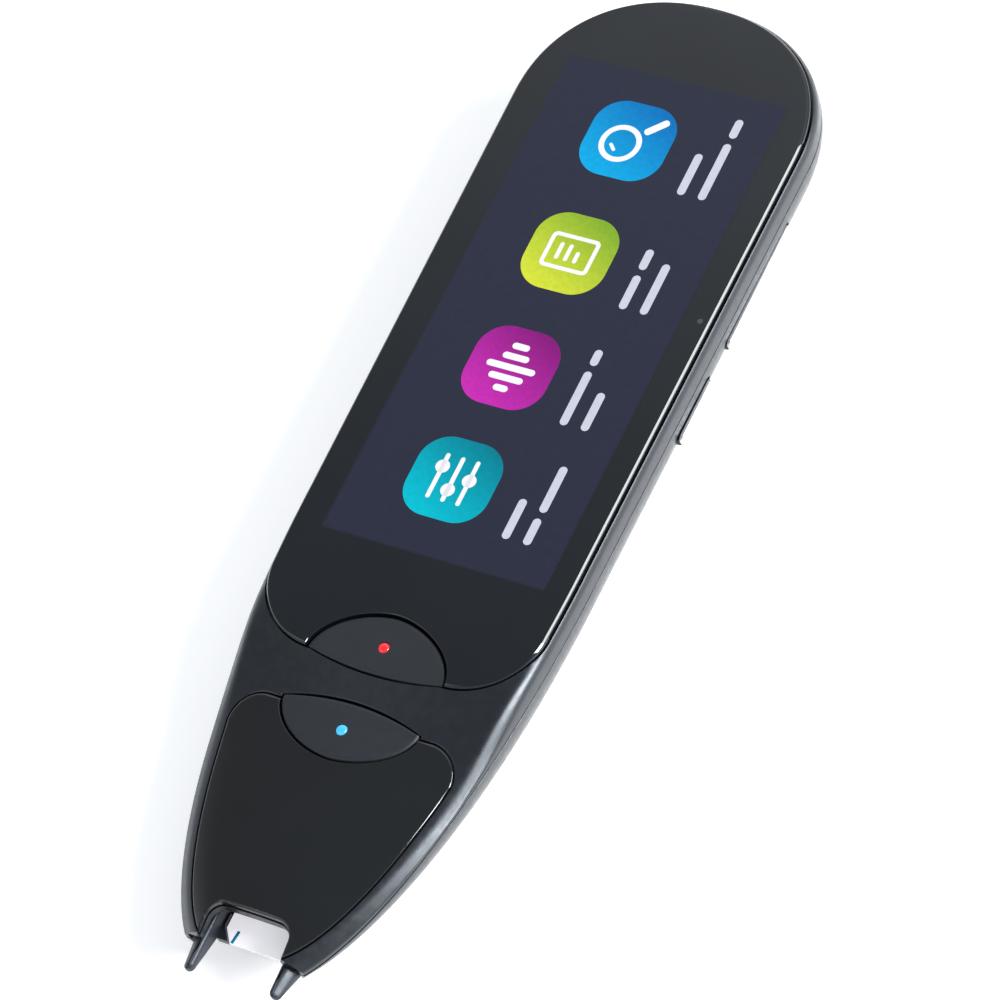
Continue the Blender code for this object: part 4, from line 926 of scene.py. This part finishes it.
def screen_glass():
    """Black glass with a rounded, ground edge and a notch for the upper key."""
    top = GLASS_HEIGHT - GLASS_SINK
    foot = (glass_half(), level(GLASS_HEIGHT - GLASS_THICKNESS))
    glass = stack("screen_glass_black", [foot, *edged(glass_half, GLASS_EDGE, top, level)])
    notch = [(upper_key_half(KEY_GAP), level(PARTING_HEIGHT))]
    for inset, below in GLASS_EDGE:
        half = upper_key_half(KEY_GAP + NOTCH_SHARE * inset)
        notch.append((half, level(top - NOTCH_SHARE * below)))
    notch.append((half, level(top + OVERRUN)))
    return carve(glass, [stack("notch", notch)])


def hoop(outer, inner, low, high):
    """A flat ring between two outlines with the same count of points."""
    bm = bmesh.new()
    rings = [[bm.verts.new((x, y, z)) for x, y in outline]
             for outline, z in ((outer, low), (outer, high), (inner, high), (inner, low))]
    for ring, following in zip(rings, rings[1:] + rings[:1]):
        bridge(bm, ring, following)
    return finish_mesh("hoop", bm)


def together(name, parts):
    """One object from the meshes of several."""
    bm = bmesh.new()
    for part in parts:
        bm.from_mesh(part.data)
        bpy.data.objects.remove(part)
    return finish_mesh(name, bm)


def on_screen(outline, centre):
    """From the picture's own right and up to the places on the pen."""
    return [(centre[0] - up, centre[1] + right) for right, up in outline]


def leaning(outline, angle, x=0.0, y=0.0):
    """The outline turned by an angle and then moved."""
    cosine, sine = math.cos(angle), math.sin(angle)
    return [(x + (a * cosine - b * sine), y + (a * sine + b * cosine)) for a, b in outline]


def glyph(name, centre, solid, rings):
    """A sign made of flat outlines and rings, laid on its tile."""
    low = PICTURE_TOP - PICTURE_STEP
    parts = [plate("part", on_screen(outline, centre), low, PICTURE_TOP) for outline in solid]
    parts += [hoop(on_screen(outer, centre), on_screen(inner, centre), low, PICTURE_TOP)
              for outer, inner in rings]
    return together(name, parts)


def magnifier(centre):
    handle = leaning(rounded(*mm((1.7, 0.0, 1.9, 0.55, 0.5))), -math.pi / 4, *mm((1.9, -1.9)))
    spark = leaning(rounded(*mm((0.0, 0.0, 0.75, 0.25, 0.25))), math.pi / 4, *mm((-1.55, 1.75)))
    ring = [circle(*mm((-0.7, 0.9, radius))) for radius in (3.1, 2.3)]
    return glyph("sign_magnifier", centre, [handle, spark], [ring])


def lined_page(centre):
    page = [rounded(*mm((0.0, 0.0, *size))) for size in ((2.9, 3.7, 0.8), (2.3, 3.1, 0.3))]
    lines = [rounded(*mm((shift, up, half, 0.3, 0.3)))
             for shift, up, half in ((0.0, 1.65, 1.4), (0.0, 0.25, 1.4), (-0.45, -1.15, 0.95))]
    return glyph("sign_page", centre, lines, [page])


def sound_bars(centre):
    bars = [rounded(*mm((right, 0.0, 0.5, half, 0.5)))
            for right, half in ((-3.4, 1.1), (-1.7, 2.6), (0.0, 3.7), (1.7, 2.0), (3.4, 1.3))]
    return glyph("sign_sound", centre, bars, [])


def sliders(centre):
    solid = []
    for up, knob in ((2.3, 1.5), (0.0, -1.7), (-2.3, 0.4)):
        solid += [rounded(*mm((0.0, up, 3.6, 0.32, 0.3))), circle(*mm((knob, up, 1.02)))]
    return glyph("sign_sliders", centre, solid, [])


def picture():
    """The lit picture: its ground, four tiles with plain signs, and bars where words would be."""
    ground_top = PICTURE_TOP - 2.0 * PICTURE_STEP
    centre_x, centre_y = PICTURE_CENTRE
    outline = rounded(centre_x, centre_y, PICTURE_SIZE[0] / 2, PICTURE_SIZE[1] / 2, PICTURE_CORNER)
    ground = plate("picture_ground", outline, ground_top - PICTURE_STEP, ground_top)
    pieces = [(ground, "picture")]
    signs = (magnifier, lined_page, sound_bars, sliders)
    labels = []
    for (name, along, words), sign in zip(TILES, signs):
        x = centre_x + TILE_X
        y = centre_y + along
        outline = rounded(x, y, TILE_HALF, TILE_HALF, TILE_CORNER, 14)
        pieces.append((plate(f"tile_{name}", outline, ground_top, ground_top + PICTURE_STEP), name))
        pieces.append((sign((x, y)), "sign"))
        for row_x, row in zip(LABEL_ROWS, words):
            start = y - TILE_HALF
            for length in row:
                outline = rounded(centre_x + row_x, start + length / 2, LABEL_HALF, length / 2, LABEL_HALF)
                labels.append(plate("label", outline, ground_top, ground_top + PICTURE_STEP))
                start += length + LABEL_GAP
    pieces.append((together("picture_labels", labels), "label"))
    return pieces


def glass_spot():
    """A faint round grey spot in the black border of the glass."""
    low = GLASS_HEIGHT - GLASS_SINK
    outline = circle(*GLASS_SPOT_PLACE, GLASS_SPOT_RADIUS)
    return plate("light_sensor_spot", outline, low - PICTURE_STEP, low + PICTURE_STEP / 2)


# Panel and keys

def lower_panel():
    """The glossy panel between the lower key and the nose opening."""
    face = FACE_HEIGHT + PANEL_PROUD
    foot = (panel_half(), bent_level(face - PANEL_THICKNESS))
    panel = stack("lower_panel_gloss", [foot, *edged(panel_half, PANEL_EDGE, face)], crowned=True)
    return carve(panel, [
        flared("panel_key_cut", lower_key_half, KEY_GAP, face, PANEL_KEY_ROUND),
        flared("panel_arch_cut", arch_half, PANEL_ARCH_MARGIN, face, PANEL_ARCH_ROUND,
               PARTING_HEIGHT - OVERRUN),
    ])


def front_key(name, half_of, pipe_y):
    """A soft-edged front key with a flange under the frame and a dished seat for its light."""
    flange = half_of(KEY_FLANGE_LAP)
    flange_top = level(KEY_LOW + KEY_FLANGE)
    layers = [(flange, level(KEY_LOW)), (flange, flange_top), (half_of(), flange_top)]
    key = stack(name, layers + edged(half_of, KEY_EDGE, FACE_HEIGHT), crowned=True)
    seat = LIGHT_PIPE_RADIUS + SEAT_GAP / 2
    radius = LIGHT_DOME_RADIUS + LIGHT_GAP
    mouth_radius = radius + 0.05 * MM
    return carve(key, [turned("seat", [
        (seat, FACE_HEIGHT - KEY_CAP / 2), (seat, FACE_HEIGHT - LIGHT_SHOULDER),
        (radius, FACE_HEIGHT - LIGHT_SHOULDER + 0.02 * MM), (radius, FACE_HEIGHT - 0.1 * MM),
        (mouth_radius, FACE_HEIGHT), (mouth_radius, FACE_HEIGHT + OVERRUN)], 0.0, pipe_y)])


def light_pipe(name, y):
    """A light pipe with a shoulder under the face of its key and a domed end."""
    low = FACE_HEIGHT - KEY_CAP / 2 + SEAT_GAP
    shoulder = FACE_HEIGHT - LIGHT_SHOULDER - LIGHT_SHOULDER_GAP
    top = FACE_HEIGHT + LIGHT_PIPE_PROUD
    dome = LIGHT_PIPE_PROUD + LIGHT_DOME_DEPTH
    profile = [(LIGHT_PIPE_RADIUS, low), (LIGHT_PIPE_RADIUS, shoulder), (LIGHT_DOME_RADIUS, shoulder)]
    for step in range(LIGHT_DOME_STEPS):
        angle = math.pi / 2 * step / LIGHT_DOME_STEPS
        profile.append((LIGHT_DOME_RADIUS * math.cos(angle) ** 0.5, top - dome + dome * math.sin(angle)))
    profile.append((LIGHT_GAP, top))
    return turned(name, profile, 0.0, y, 40)


def side_key(name, y, length):
    """A side key with a flange behind the wall and a softly rounded face that follows the casing's slope."""
    outer = TOP_HALF_WIDTH - back_inset(SIDE_KEY_Z) + SIDE_KEY_PROUD
    flange = SIDE_KEY_FLANGE_X + SIDE_KEY_FLANGE
    lean = SIDE_KEY_SLOPE / SIDE_KEY_HEIGHT

    def outline(inset=0.0, lap=0.0):
        return rounded(y, SIDE_KEY_Z, length / 2 - inset, SIDE_KEY_HEIGHT / 2 - inset + lap,
                       SIDE_KEY_CORNER - inset / 2)
    wide = outline(0.0, SIDE_KEY_LAP)
    rings = [(wide, SIDE_KEY_FLANGE_X, 0.0), (wide, flange, 0.0), (outline(), flange, 0.0)]
    rings += [(outline(inset), outer - below, 1.0) for inset, below in SIDE_KEY_EDGE]
    return sweep(name, [[(x + lean * follow * (b - SIDE_KEY_Z), a, b) for a, b in shape]
                        for shape, x, follow in rings])


# Scanning head

def faceted(outline, wide, cut):
    """The outline with its first corner, nine points long, cut flat and softened at both ends."""
    (outer, _), (_, high) = outline[0], outline[8]
    soft = PRONG_FACET_SOFT * wide
    slant = soft / math.sqrt(2.0)
    low_end, high_end = Vector((outer, high - cut)), Vector((outer - cut, high))
    along, down, inward = Vector((-slant, slant)), Vector((0.0, -soft)), Vector((-soft, 0.0))
    points = []
    for corner, before, after in ((low_end, down, along), (high_end, -along, inward)):
        for step in range(4):
            share = step / 3
            points.append(corner + before * (1.0 - share) ** 2 + after * share ** 2)
    points.insert(4, (low_end + high_end) / 2)
    return [tuple(point) for point in points] + outline[9:]


def arm(side):
    """One arm of the scan tip, from its bar to the end of its prong."""
    half_width = PRONG_TIP_WIDTH / 2
    half_height = PRONG_TIP_HEIGHT / 2
    middle = ARM_INNER + half_width
    front = ARM_INNER + ARM_FRONT_THICKNESS
    rear = ARM_INNER + ARM_THICKNESS
    tip_top = ARM_HIGH - PRONG_TIP_FALL
    rear_top = ARM_LOW + ARM_REAR_HEIGHT
    centre = tip_top - half_height
    stations = [
        (TIP_BAR_Y, ARM_INNER, rear, ARM_LOW, rear_top, 0.15 * MM),
        (ARM_STEP_Y + ARM_STEP_SLANT, ARM_INNER, rear, ARM_LOW, rear_top, 0.15 * MM),
        (ARM_STEP_Y, ARM_INNER, front, ARM_LOW, ARM_HIGH, 0.2 * MM),
        (ARM_END_Y, ARM_INNER, front, ARM_LOW, ARM_HIGH, 0.5 * MM),
    ]
    length = ARM_END_Y - PRONG_TIP_Y
    for step in range(1, PRONG_STEPS + 1):
        share = step / PRONG_STEPS
        y = ARM_END_Y - (length - half_width) * share
        inner = ARM_INNER + (middle - half_width - ARM_INNER) * share
        outer = front + (middle + half_width - front) * share
        low = ARM_LOW + (centre - half_height - ARM_LOW) * share
        high = ARM_HIGH + (tip_top - ARM_HIGH) * share
        stations.append((y, inner, outer, low, high, (0.5 + 0.25 * share) * MM))
    for step in range(1, PRONG_END_STEPS + 1):
        angle = math.pi / 2 * step / PRONG_END_STEPS
        y = PRONG_TIP_Y + half_width * (1.0 - math.sin(angle))
        wide, tall = (half * (blunt + (1.0 - blunt) * math.cos(angle))
                      for half, blunt in zip((half_width, half_height), PRONG_END_BLUNT))
        stations.append((y, middle - wide, middle + wide, centre - tall, centre + tall, 0.75 * MM))
    rings = []
    for y, inner, outer, low, high, radius in stations:
        wide = outer - inner
        outline = rounded((inner + outer) / 2, (low + high) / 2, wide / 2, (high - low) / 2, radius)
        if y < ARM_END_Y:
            outline = faceted(outline, wide, PRONG_FACET * wide)
        rings.append([(side * a, y, b) for a, b in outline])
    return sweep(f"arm_{side}", rings)


def arm_web(side):
    """The low web that fills the corner between an arm and the cut-away corner of the window."""
    root = ARM_INNER + ARM_WEB_LAP
    tip = WINDOW_HALF_WIDTH - WINDOW_CHAMFER_WIDTH
    side_x = WINDOW_HALF_WIDTH + ARM_WEB_GAP
    outline = [
        (root, WINDOW_FRONT_Y), (tip, WINDOW_FRONT_Y), (side_x, WINDOW_FRONT_Y + WINDOW_CHAMFER_LENGTH),
        (side_x, ARM_WEB_REAR_Y), (root, ARM_WEB_REAR_Y)]
    return plate(f"web_{side}", [(side * x, y) for x, y in outline], ARM_LOW, ARM_LOW + ARM_WEB_THICKNESS)


def scan_tip():
    """Two arms with their prongs and webs, joined by the bar behind them."""
    tip = arm(1.0)
    tip.name = "scan_tip_grey"
    wide = ARM_INNER + ARM_THICKNESS
    outline = rounded(TIP_BAR_Y + TIP_BAR_DEPTH / 2, ARM_LOW + TIP_BAR_HEIGHT / 2, TIP_BAR_DEPTH / 2,
                      TIP_BAR_HEIGHT / 2, TIP_BAR_CORNER)
    bar = along_x("bar", outline, (-wide, wide))
    return shaded(combine(tip, [arm(-1.0), bar, arm_web(1.0), arm_web(-1.0)]))


def scan_window():
    """The milky strip with soft edges that the pen looks through."""
    rows = edged(window_half, WINDOW_EDGE, WINDOW_LOW + WINDOW_THICKNESS, level)
    return stack("scan_window_milky", [(window_half(), level(WINDOW_LOW)), *rows])


def scan_mark():
    """The coloured line on the scan window that shows where a word is read."""
    top = WINDOW_LOW + WINDOW_THICKNESS
    outline = leaning(rounded(0.0, 0.0, *MARK_HALF, MARK_CORNER), MARK_TURN, *MARK_PLACE)
    return plate("scan_mark", outline, top - MARK_DEPTH, top + MARK_RISE)


# Socket and screws

def usb_socket():
    """A rolled metal shell with a tongue and its two rows of contacts."""
    middle = BOARD_UNDERSIDE - USB_SIZE[2] / 2
    root = USB_FRONT_Y - USB_DEPTH
    front = USB_FRONT_Y
    end = root + USB_TONGUE[1]
    half_thick = USB_TONGUE[2] / 2

    def rings(half_x, half_z, stations, radius=None, steps=12):
        outlines = [rounded(0.0, middle, half_x - inset, half_z - inset, radius or half_z - inset, steps)
                    for inset, _ in stations]
        return [[(a, y, b) for a, b in outline] for outline, (_, y) in zip(outlines, stations)]
    shell = sweep("usb_shell", rings(USB_SIZE[0] / 2, USB_SIZE[2] / 2, [
        (0.0, front - USB_SIZE[1]), (0.0, front - 0.1 * MM), (USB_LIP, front), (USB_WALL - USB_LIP, front),
        (USB_WALL, front - 0.15 * MM), (USB_WALL, root)]))
    tongue = sweep("usb_tongue", rings(USB_TONGUE[0] / 2, half_thick, [
        (0.0, root - USB_WALL), (0.0, end - 0.2 * MM), (0.1 * MM, end)], 0.2 * MM, 8))
    half_wide, half_tall = USB_PAD
    pads = []
    for column in range(12):
        for side in (1.0, -1.0):
            x = USB_PITCH * (column - 5.5)
            z = middle + side * USB_TONGUE[2] / 2
            pads.append(box("pad", (x - half_wide, root + 0.2 * MM, z - half_tall),
                            (x + half_wide, root + 0.8 * USB_TONGUE[1], z + half_tall)))
    return shell, tongue, together("usb_contacts", pads)


def rear_screw(name, x, y):
    """A round-headed screw with a cross recess and a ridged shank."""
    low = bent(SCREW_HEAD_LOW, x, y)
    high = low + SCREW_HEAD_HEIGHT
    profile = [(0.05 * MM, low)]
    profile += [(share * SCREW_HEAD_RADIUS, low + rise) for share, rise in SCREW_DOME]
    profile += [(SCREW_HEAD_RADIUS, high), (SCREW_SHANK_RADIUS, high)]
    for ridge in range(SCREW_RIDGES):
        z = high + (SCREW_TOP - high) * (ridge + 0.5) / SCREW_RIDGES
        profile.append((SCREW_SHANK_RADIUS * SCREW_RIDGE_DEPTH, z))
        profile.append((SCREW_SHANK_RADIUS, z + (SCREW_TOP - high) / SCREW_RIDGES / 2))
    screw = turned(name, profile, x, y, 36)
    arms = []
    for angle in (SCREW_CROSS_TURN, SCREW_CROSS_TURN + math.pi / 2):
        wide, foot = (leaning(rounded(*size), angle, x, y) for size in (SCREW_CROSS, SCREW_CROSS_FOOT))
        arms.append(sweep("cross", [[(a, b, z) for a, b in shape] for shape, z in (
            (wide, low - OVERRUN), (wide, low + 0.1 * MM), (foot, low + 0.55 * MM))]))
    return carve(screw, arms)


# Finishes

def gradient(made, centre, direction, reach, first, second):
    """Colour that runs from the first to the second across a place, in a direction in plan."""
    along = made.node("VectorMath", {0: made.place, 1: (*direction, 0.0)}, operation="DOT_PRODUCT")["Value"]
    middle = centre[0] * direction[0] + centre[1] * direction[1]
    return made.mixed(made.ranged(along, 0.0, 1.0, middle - reach, middle + reach), first, second)


def tile_finish(name, centre, first, second):
    """A lit tile: its colour deepens toward one corner."""
    made = Finish(name)
    colour = gradient(made, centre, TILE_DIRECTION, 1.25 * TILE_HALF, first, second)
    dim = made.mixed(made.ranged(made.noise(1500.0), 0.78, 0.86), colour, BLACK)
    made.set(Base_Color=dim, Emission_Color=colour, Emission_Strength=0.8, Specular_IOR_Level=SCREEN_SHINE)
    return made.rough(0.05, 0.08, 120.0).material


def picture_finish():
    """The lit ground of the picture, which fades into the black glass at its edge."""
    made = Finish("picture_ground")
    places = made.node("SeparateXYZ", {"Vector": made.place})
    shares = []
    for axis, centre, size in zip("XY", PICTURE_CENTRE, PICTURE_SIZE):
        away = made.math("ABSOLUTE", made.math("SUBTRACT", places[axis], centre))
        shares.append(made.ranged(away, 1.0, 0.0, size / 2 - PICTURE_FADE, size / 2))
    inside = made.math("MULTIPLY", *shares)
    lit = made.mixed(made.ranged(made.noise(900.0), 0.0, 0.1), srgb(*PICTURE_COLOUR), BLACK)
    made.set(Base_Color=(*GLASS_COLOUR, 1.0), Emission_Color=made.mixed(inside, BLACK, lit),
             Emission_Strength=1.0, Specular_IOR_Level=made.ranged(inside, 0.5, SCREEN_SHINE, 0.0, 1.0))
    return made.rough(0.03, 0.07, 120.0).material


def finishes():
    """Every material of the pen by name."""
    table = (
        (painted, "casing", "casing_satin", CASING_COLOUR, 0.32, 9000.0, 0.003),
        (painted, "front_keys", "key_rubber", KEY_COLOUR, 0.55, 5200.0, 0.012),
        (painted, "scan_tip", "tip_satin", TIP_COLOUR, 0.4, 7000.0),
        (painted, "black_plastic", "black_plastic", (0.02, 0.02, 0.02), 0.5, 5000.0, 0.01),
        (polished, "glass", "glass_black", GLASS_COLOUR, 0.03),
        (polished, "panel", "panel_gloss", PANEL_COLOUR, 0.05),
        (painted, "window", "window_milk", srgb(205, 206, 210), 0.25, 3000.0, 0.006),
        (painted, "mark", "mark_ink", srgb(20, 150, 190), 0.3, 4000.0),
        (metal, "silver", "key_silver", (0.5, 0.52, 0.545), 0.42),
        (metal, "steel", "steel", (0.55, 0.56, 0.58), 0.32),
        (metal, "black_steel", "black_steel", (0.06, 0.06, 0.065), 0.38),
        (metal, "cast", "cast_metal", (0.5, 0.51, 0.53), 0.45, (1.0, 1.0, 1.0)),
        (metal, "copper", "copper_film", (0.7, 0.38, 0.17), 0.35),
        (metal, "gold", "contact_gold", (0.85, 0.62, 0.25), 0.25),
        (painted, "board", "solder_mask", (0.02, 0.14, 0.07), 0.35, 1400.0, 0.02),
        (painted, "wrap", "battery_foil", (0.2, 0.21, 0.22), 0.35, 800.0, 0.03),
        (polished, "lens", "lens_coated", (0.02, 0.03, 0.06), 0.02, 1.6),
        (painted, "module", "display_module", (0.03, 0.033, 0.065), 0.3, 2000.0),
        (polished, "sensor", "sensor_window", (0.035, 0.04, 0.04), 0.05),
        (glowing, "label", "label_light", srgb(196, 200, 214), 0.72),
        (glowing, "sign", "sign_light", srgb(226, 226, 232), 0.85),
        (glowing, "red", "red_light", srgb(236, 44, 52), 0.8, 0.15, 0.6),
        (glowing, "blue_light", "blue_light", srgb(70, 190, 242), 0.8, 0.15, 0.6),
    )
    made = {key: make(name, *values) for make, key, name, *values in table}
    made["casing"].set(IOR=1.53, Specular_Tint=SATIN_TINT)
    made["front_keys"].set(Specular_Tint=SATIN_TINT)
    made["scan_tip"].set(Specular_IOR_Level=0.36, Specular_Tint=SATIN_TINT)
    made["wrap"].set(Metallic=0.4)
    # The scan window's glow is painted light: brighter on the left than on the right, and dim low down toward
    # its foot
    window = made["window"]
    bright, dim = (tuple(glow * c for c in WINDOW_PAINTED_LIGHT_COLOUR) for glow in WINDOW_PAINTED_LIGHT)
    rise = window.node("SeparateXYZ", {"Vector": window.place})["Z"]
    low, high = (WINDOW_LOW + share * WINDOW_THICKNESS for share in WINDOW_PAINTED_LIGHT_RISE)
    window.set(
        Emission_Color=gradient(window, (0.0, WINDOW_FRONT_Y), (1.0, 0.0), WINDOW_HALF_WIDTH, bright, dim),
        Emission_Strength=window.ranged(rise, 0.1, 1.0, low, high))
    # Painted shade: the side keys turn dark where they sink into their slots in the casing
    silver = made["silver"]
    root = TOP_HALF_WIDTH - back_inset(SIDE_KEY_Z) + 0.04 * MM
    silver.set(Base_Color=gradient(silver, (root, 0.0), (1.0, 0.0), 0.05 * MM, SIDE_KEY_PAINTED_SHADE, silver.tint))
    made = {key: finish.material for key, finish in made.items()}
    made["picture"] = picture_finish()
    for (name, along, _), (first, second) in zip(TILES, TILE_COLOURS):
        centre = (PICTURE_CENTRE[0] + TILE_X, PICTURE_CENTRE[1] + along)
        made[name] = tile_finish(f"tile_{name}", centre, srgb(*first), srgb(*second))
    return made


NODE_FINISHES = {
    "module": ("display_module",),
    "cast": ("chassis",),
    "wrap": ("battery",),
    "lens": ("scan_lens",),
    "board": ("main_board", "key_board", "scan_board", "side_key_board", "scan_light_board"),
    "black_plastic": ("speaker", "battery_connector", "scan_camera"),
    "copper": ("antenna", "key_flex", "scan_flex", "display_flex"),
    "steel": ("processor_shield", "microphone", "volume_up_switch", "volume_down_switch", "power_switch",
              "upper_switch", "lower_switch", "trigger_switch"),
}


def place(piece, finish, slot, body, *nodes):
    """Give a piece its finish and its body, and hide the nodes that it stands for. The slot is not used."""
    piece.data.materials.clear()
    piece.data.materials.append(FINISH[finish])
    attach(piece, body)
    if nodes:
        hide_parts(*nodes)


FINISH = finishes()


def dress():
    """Put every visible piece in its place, and lay the looks over the inner solids."""
    place(rear_shell(), "casing", "casing", "casing", "rear_cover")
    place(front_shell(), "casing", "casing", "casing", "front_frame")
    place(screen_glass(), "glass", "screen_glass", "casing", "screen_glass")
    for piece, finish in picture():
        place(piece, finish, "display", "casing")
    place(glass_spot(), "sensor", "screen_glass", "casing")
    place(lower_panel(), "panel", "lower_panel", "casing", "lower_panel")
    place(front_key("upper_key", upper_key_half, UPPER_PIPE_Y), "front_keys", "front_keys", "upper_key",
          "upper_button")
    place(front_key("lower_key", lower_key_half, LOWER_PIPE_Y), "front_keys", "front_keys", "lower_key",
          "lower_button")
    place(light_pipe("red_pipe", UPPER_PIPE_Y), "red", "red_light", "upper_key", "upper_light_pipe")
    place(light_pipe("blue_pipe", LOWER_PIPE_Y), "blue_light", "blue_light", "lower_key", "lower_light_pipe")
    place(side_key("volume_bar", VOLUME_Y, VOLUME_LENGTH), "silver", "side_keys", "volume_key",
          "volume_rocker")
    place(side_key("power_bar", POWER_Y, POWER_LENGTH), "silver", "side_keys", "power_key", "power_button")
    place(scan_tip(), "scan_tip", "scan_tip", "trigger", "scan_tip")
    place(scan_window(), "window", "scan_window", "casing", "scan_window")
    place(scan_mark(), "mark", "scan_window", "casing")
    shell, tongue, contacts = usb_socket()
    place(shell, "steel", "steel", "casing", "usb_socket")
    place(tongue, "black_plastic", "black_plastic", "casing")
    place(contacts, "gold", "steel", "casing")
    for index, (x, y) in enumerate(mirrored(SCREW_PLACES)):
        place(rear_screw(f"cross_screw_{index + 1}", x, y), "black_steel", "black_steel", "casing",
              f"rear_screw_{index + 1}")
    inner = {name: finish for finish, names in NODE_FINISHES.items() for name in names}
    for name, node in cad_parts.items():
        finish = inner.get(name, "black_steel" if "screw" in name else None)
        if finish:
            for slot in node.material_slots:
                slot.material = FINISH[finish]


# Camera, light and floor

def camera():
    data = bpy.data.cameras.new("camera")
    data.sensor_width = 36.0
    data.lens = LENS
    data.clip_start = 0.01
    data.clip_end = 20.0
    made = bpy.data.objects.new("camera", data)
    made.matrix_world = Matrix.Translation(CAMERA_PLACE) @ Matrix(CAMERA_TURN).to_4x4()
    bpy.context.scene.collection.objects.link(made)
    bpy.context.scene.camera = made


def lamp(name, place_at, size, power):
    """A rectangular lamp that faces the pen."""
    data = bpy.data.lights.new(name, "AREA")
    data.shape = "RECTANGLE"
    data.size, data.size_y = size
    data.energy = power
    made = bpy.data.objects.new(name, data)
    made.location = place_at
    made.rotation_euler = (-Vector(place_at)).to_track_quat("-Z", "Y").to_euler()
    bpy.context.scene.collection.objects.link(made)


def surroundings():
    """A plain pale studio: white walls, and a dimmer ceiling that brightens toward the far end of the pen."""
    world = bpy.data.worlds.new("studio")
    world.use_nodes = True
    bpy.context.scene.world = world
    tree = world.node_tree
    axes = wired(tree, "SeparateXYZ", {"Vector": wired(tree, "TexCoord")["Generated"]})
    ceiling, walls = (
        ranged(tree, axes[axis], *span, *levels, interpolation_type="SMOOTHSTEP")
        for axis, span, levels in (("Y", CEILING_RISE, CEILING_LEVELS), ("Z", WALL_RISE, (1.0, 0.0))))
    joined = wired(tree, "Mix", {"Factor": walls, 2: ceiling, 3: 1.0})[0]
    shade = tree.nodes["Background"].inputs
    feed(tree, shade["Strength"], joined)
    feed(tree, shade["Color"], (*STUDIO_COLOUR, 1.0))


def floor():
    """A pale floor that glows to the eye, and from side to side more strongly in mirrored rays."""
    bm = bmesh.new()
    for x, y in ((-1.0, -1.0), (1.0, -1.0), (1.0, 1.0), (-1.0, 1.0)):
        bm.verts.new((FLOOR_REACH * x, FLOOR_REACH * y, FLOOR_LEVEL))
    bm.faces.new(bm.verts)
    made = finish_mesh("floor", bm)
    if made.data.polygons[0].normal.z < 0.0:
        made.data.flip_normals()
    pale = Finish("floor_pale")
    rays = pale.node("LightPath")
    across = pale.node("SeparateXYZ", {"Vector": pale.place})["X"]
    sheen = pale.ranged(across, *FLOOR_SHEEN, -TOP_HALF_WIDTH, TOP_HALF_WIDTH)
    glow = 0.0
    for ray, strength in (("Camera", FLOOR_GLOW), ("Transmission", FLOOR_GLOW), ("Glossy", sheen)):
        glow = pale.math("MULTIPLY_ADD", rays[f"Is {ray} Ray"], strength, glow)
    pale.set(Base_Color=(0.8, 0.8, 0.8, 1.0), Roughness=0.9, Specular_IOR_Level=0.0,
             Emission_Color=(*FLOOR_COLOUR, 1.0), Emission_Strength=glow)
    made.data.materials.append(pale.material)


dress()
camera()
surroundings()
for row in LAMPS:
    lamp(*row)
floor()
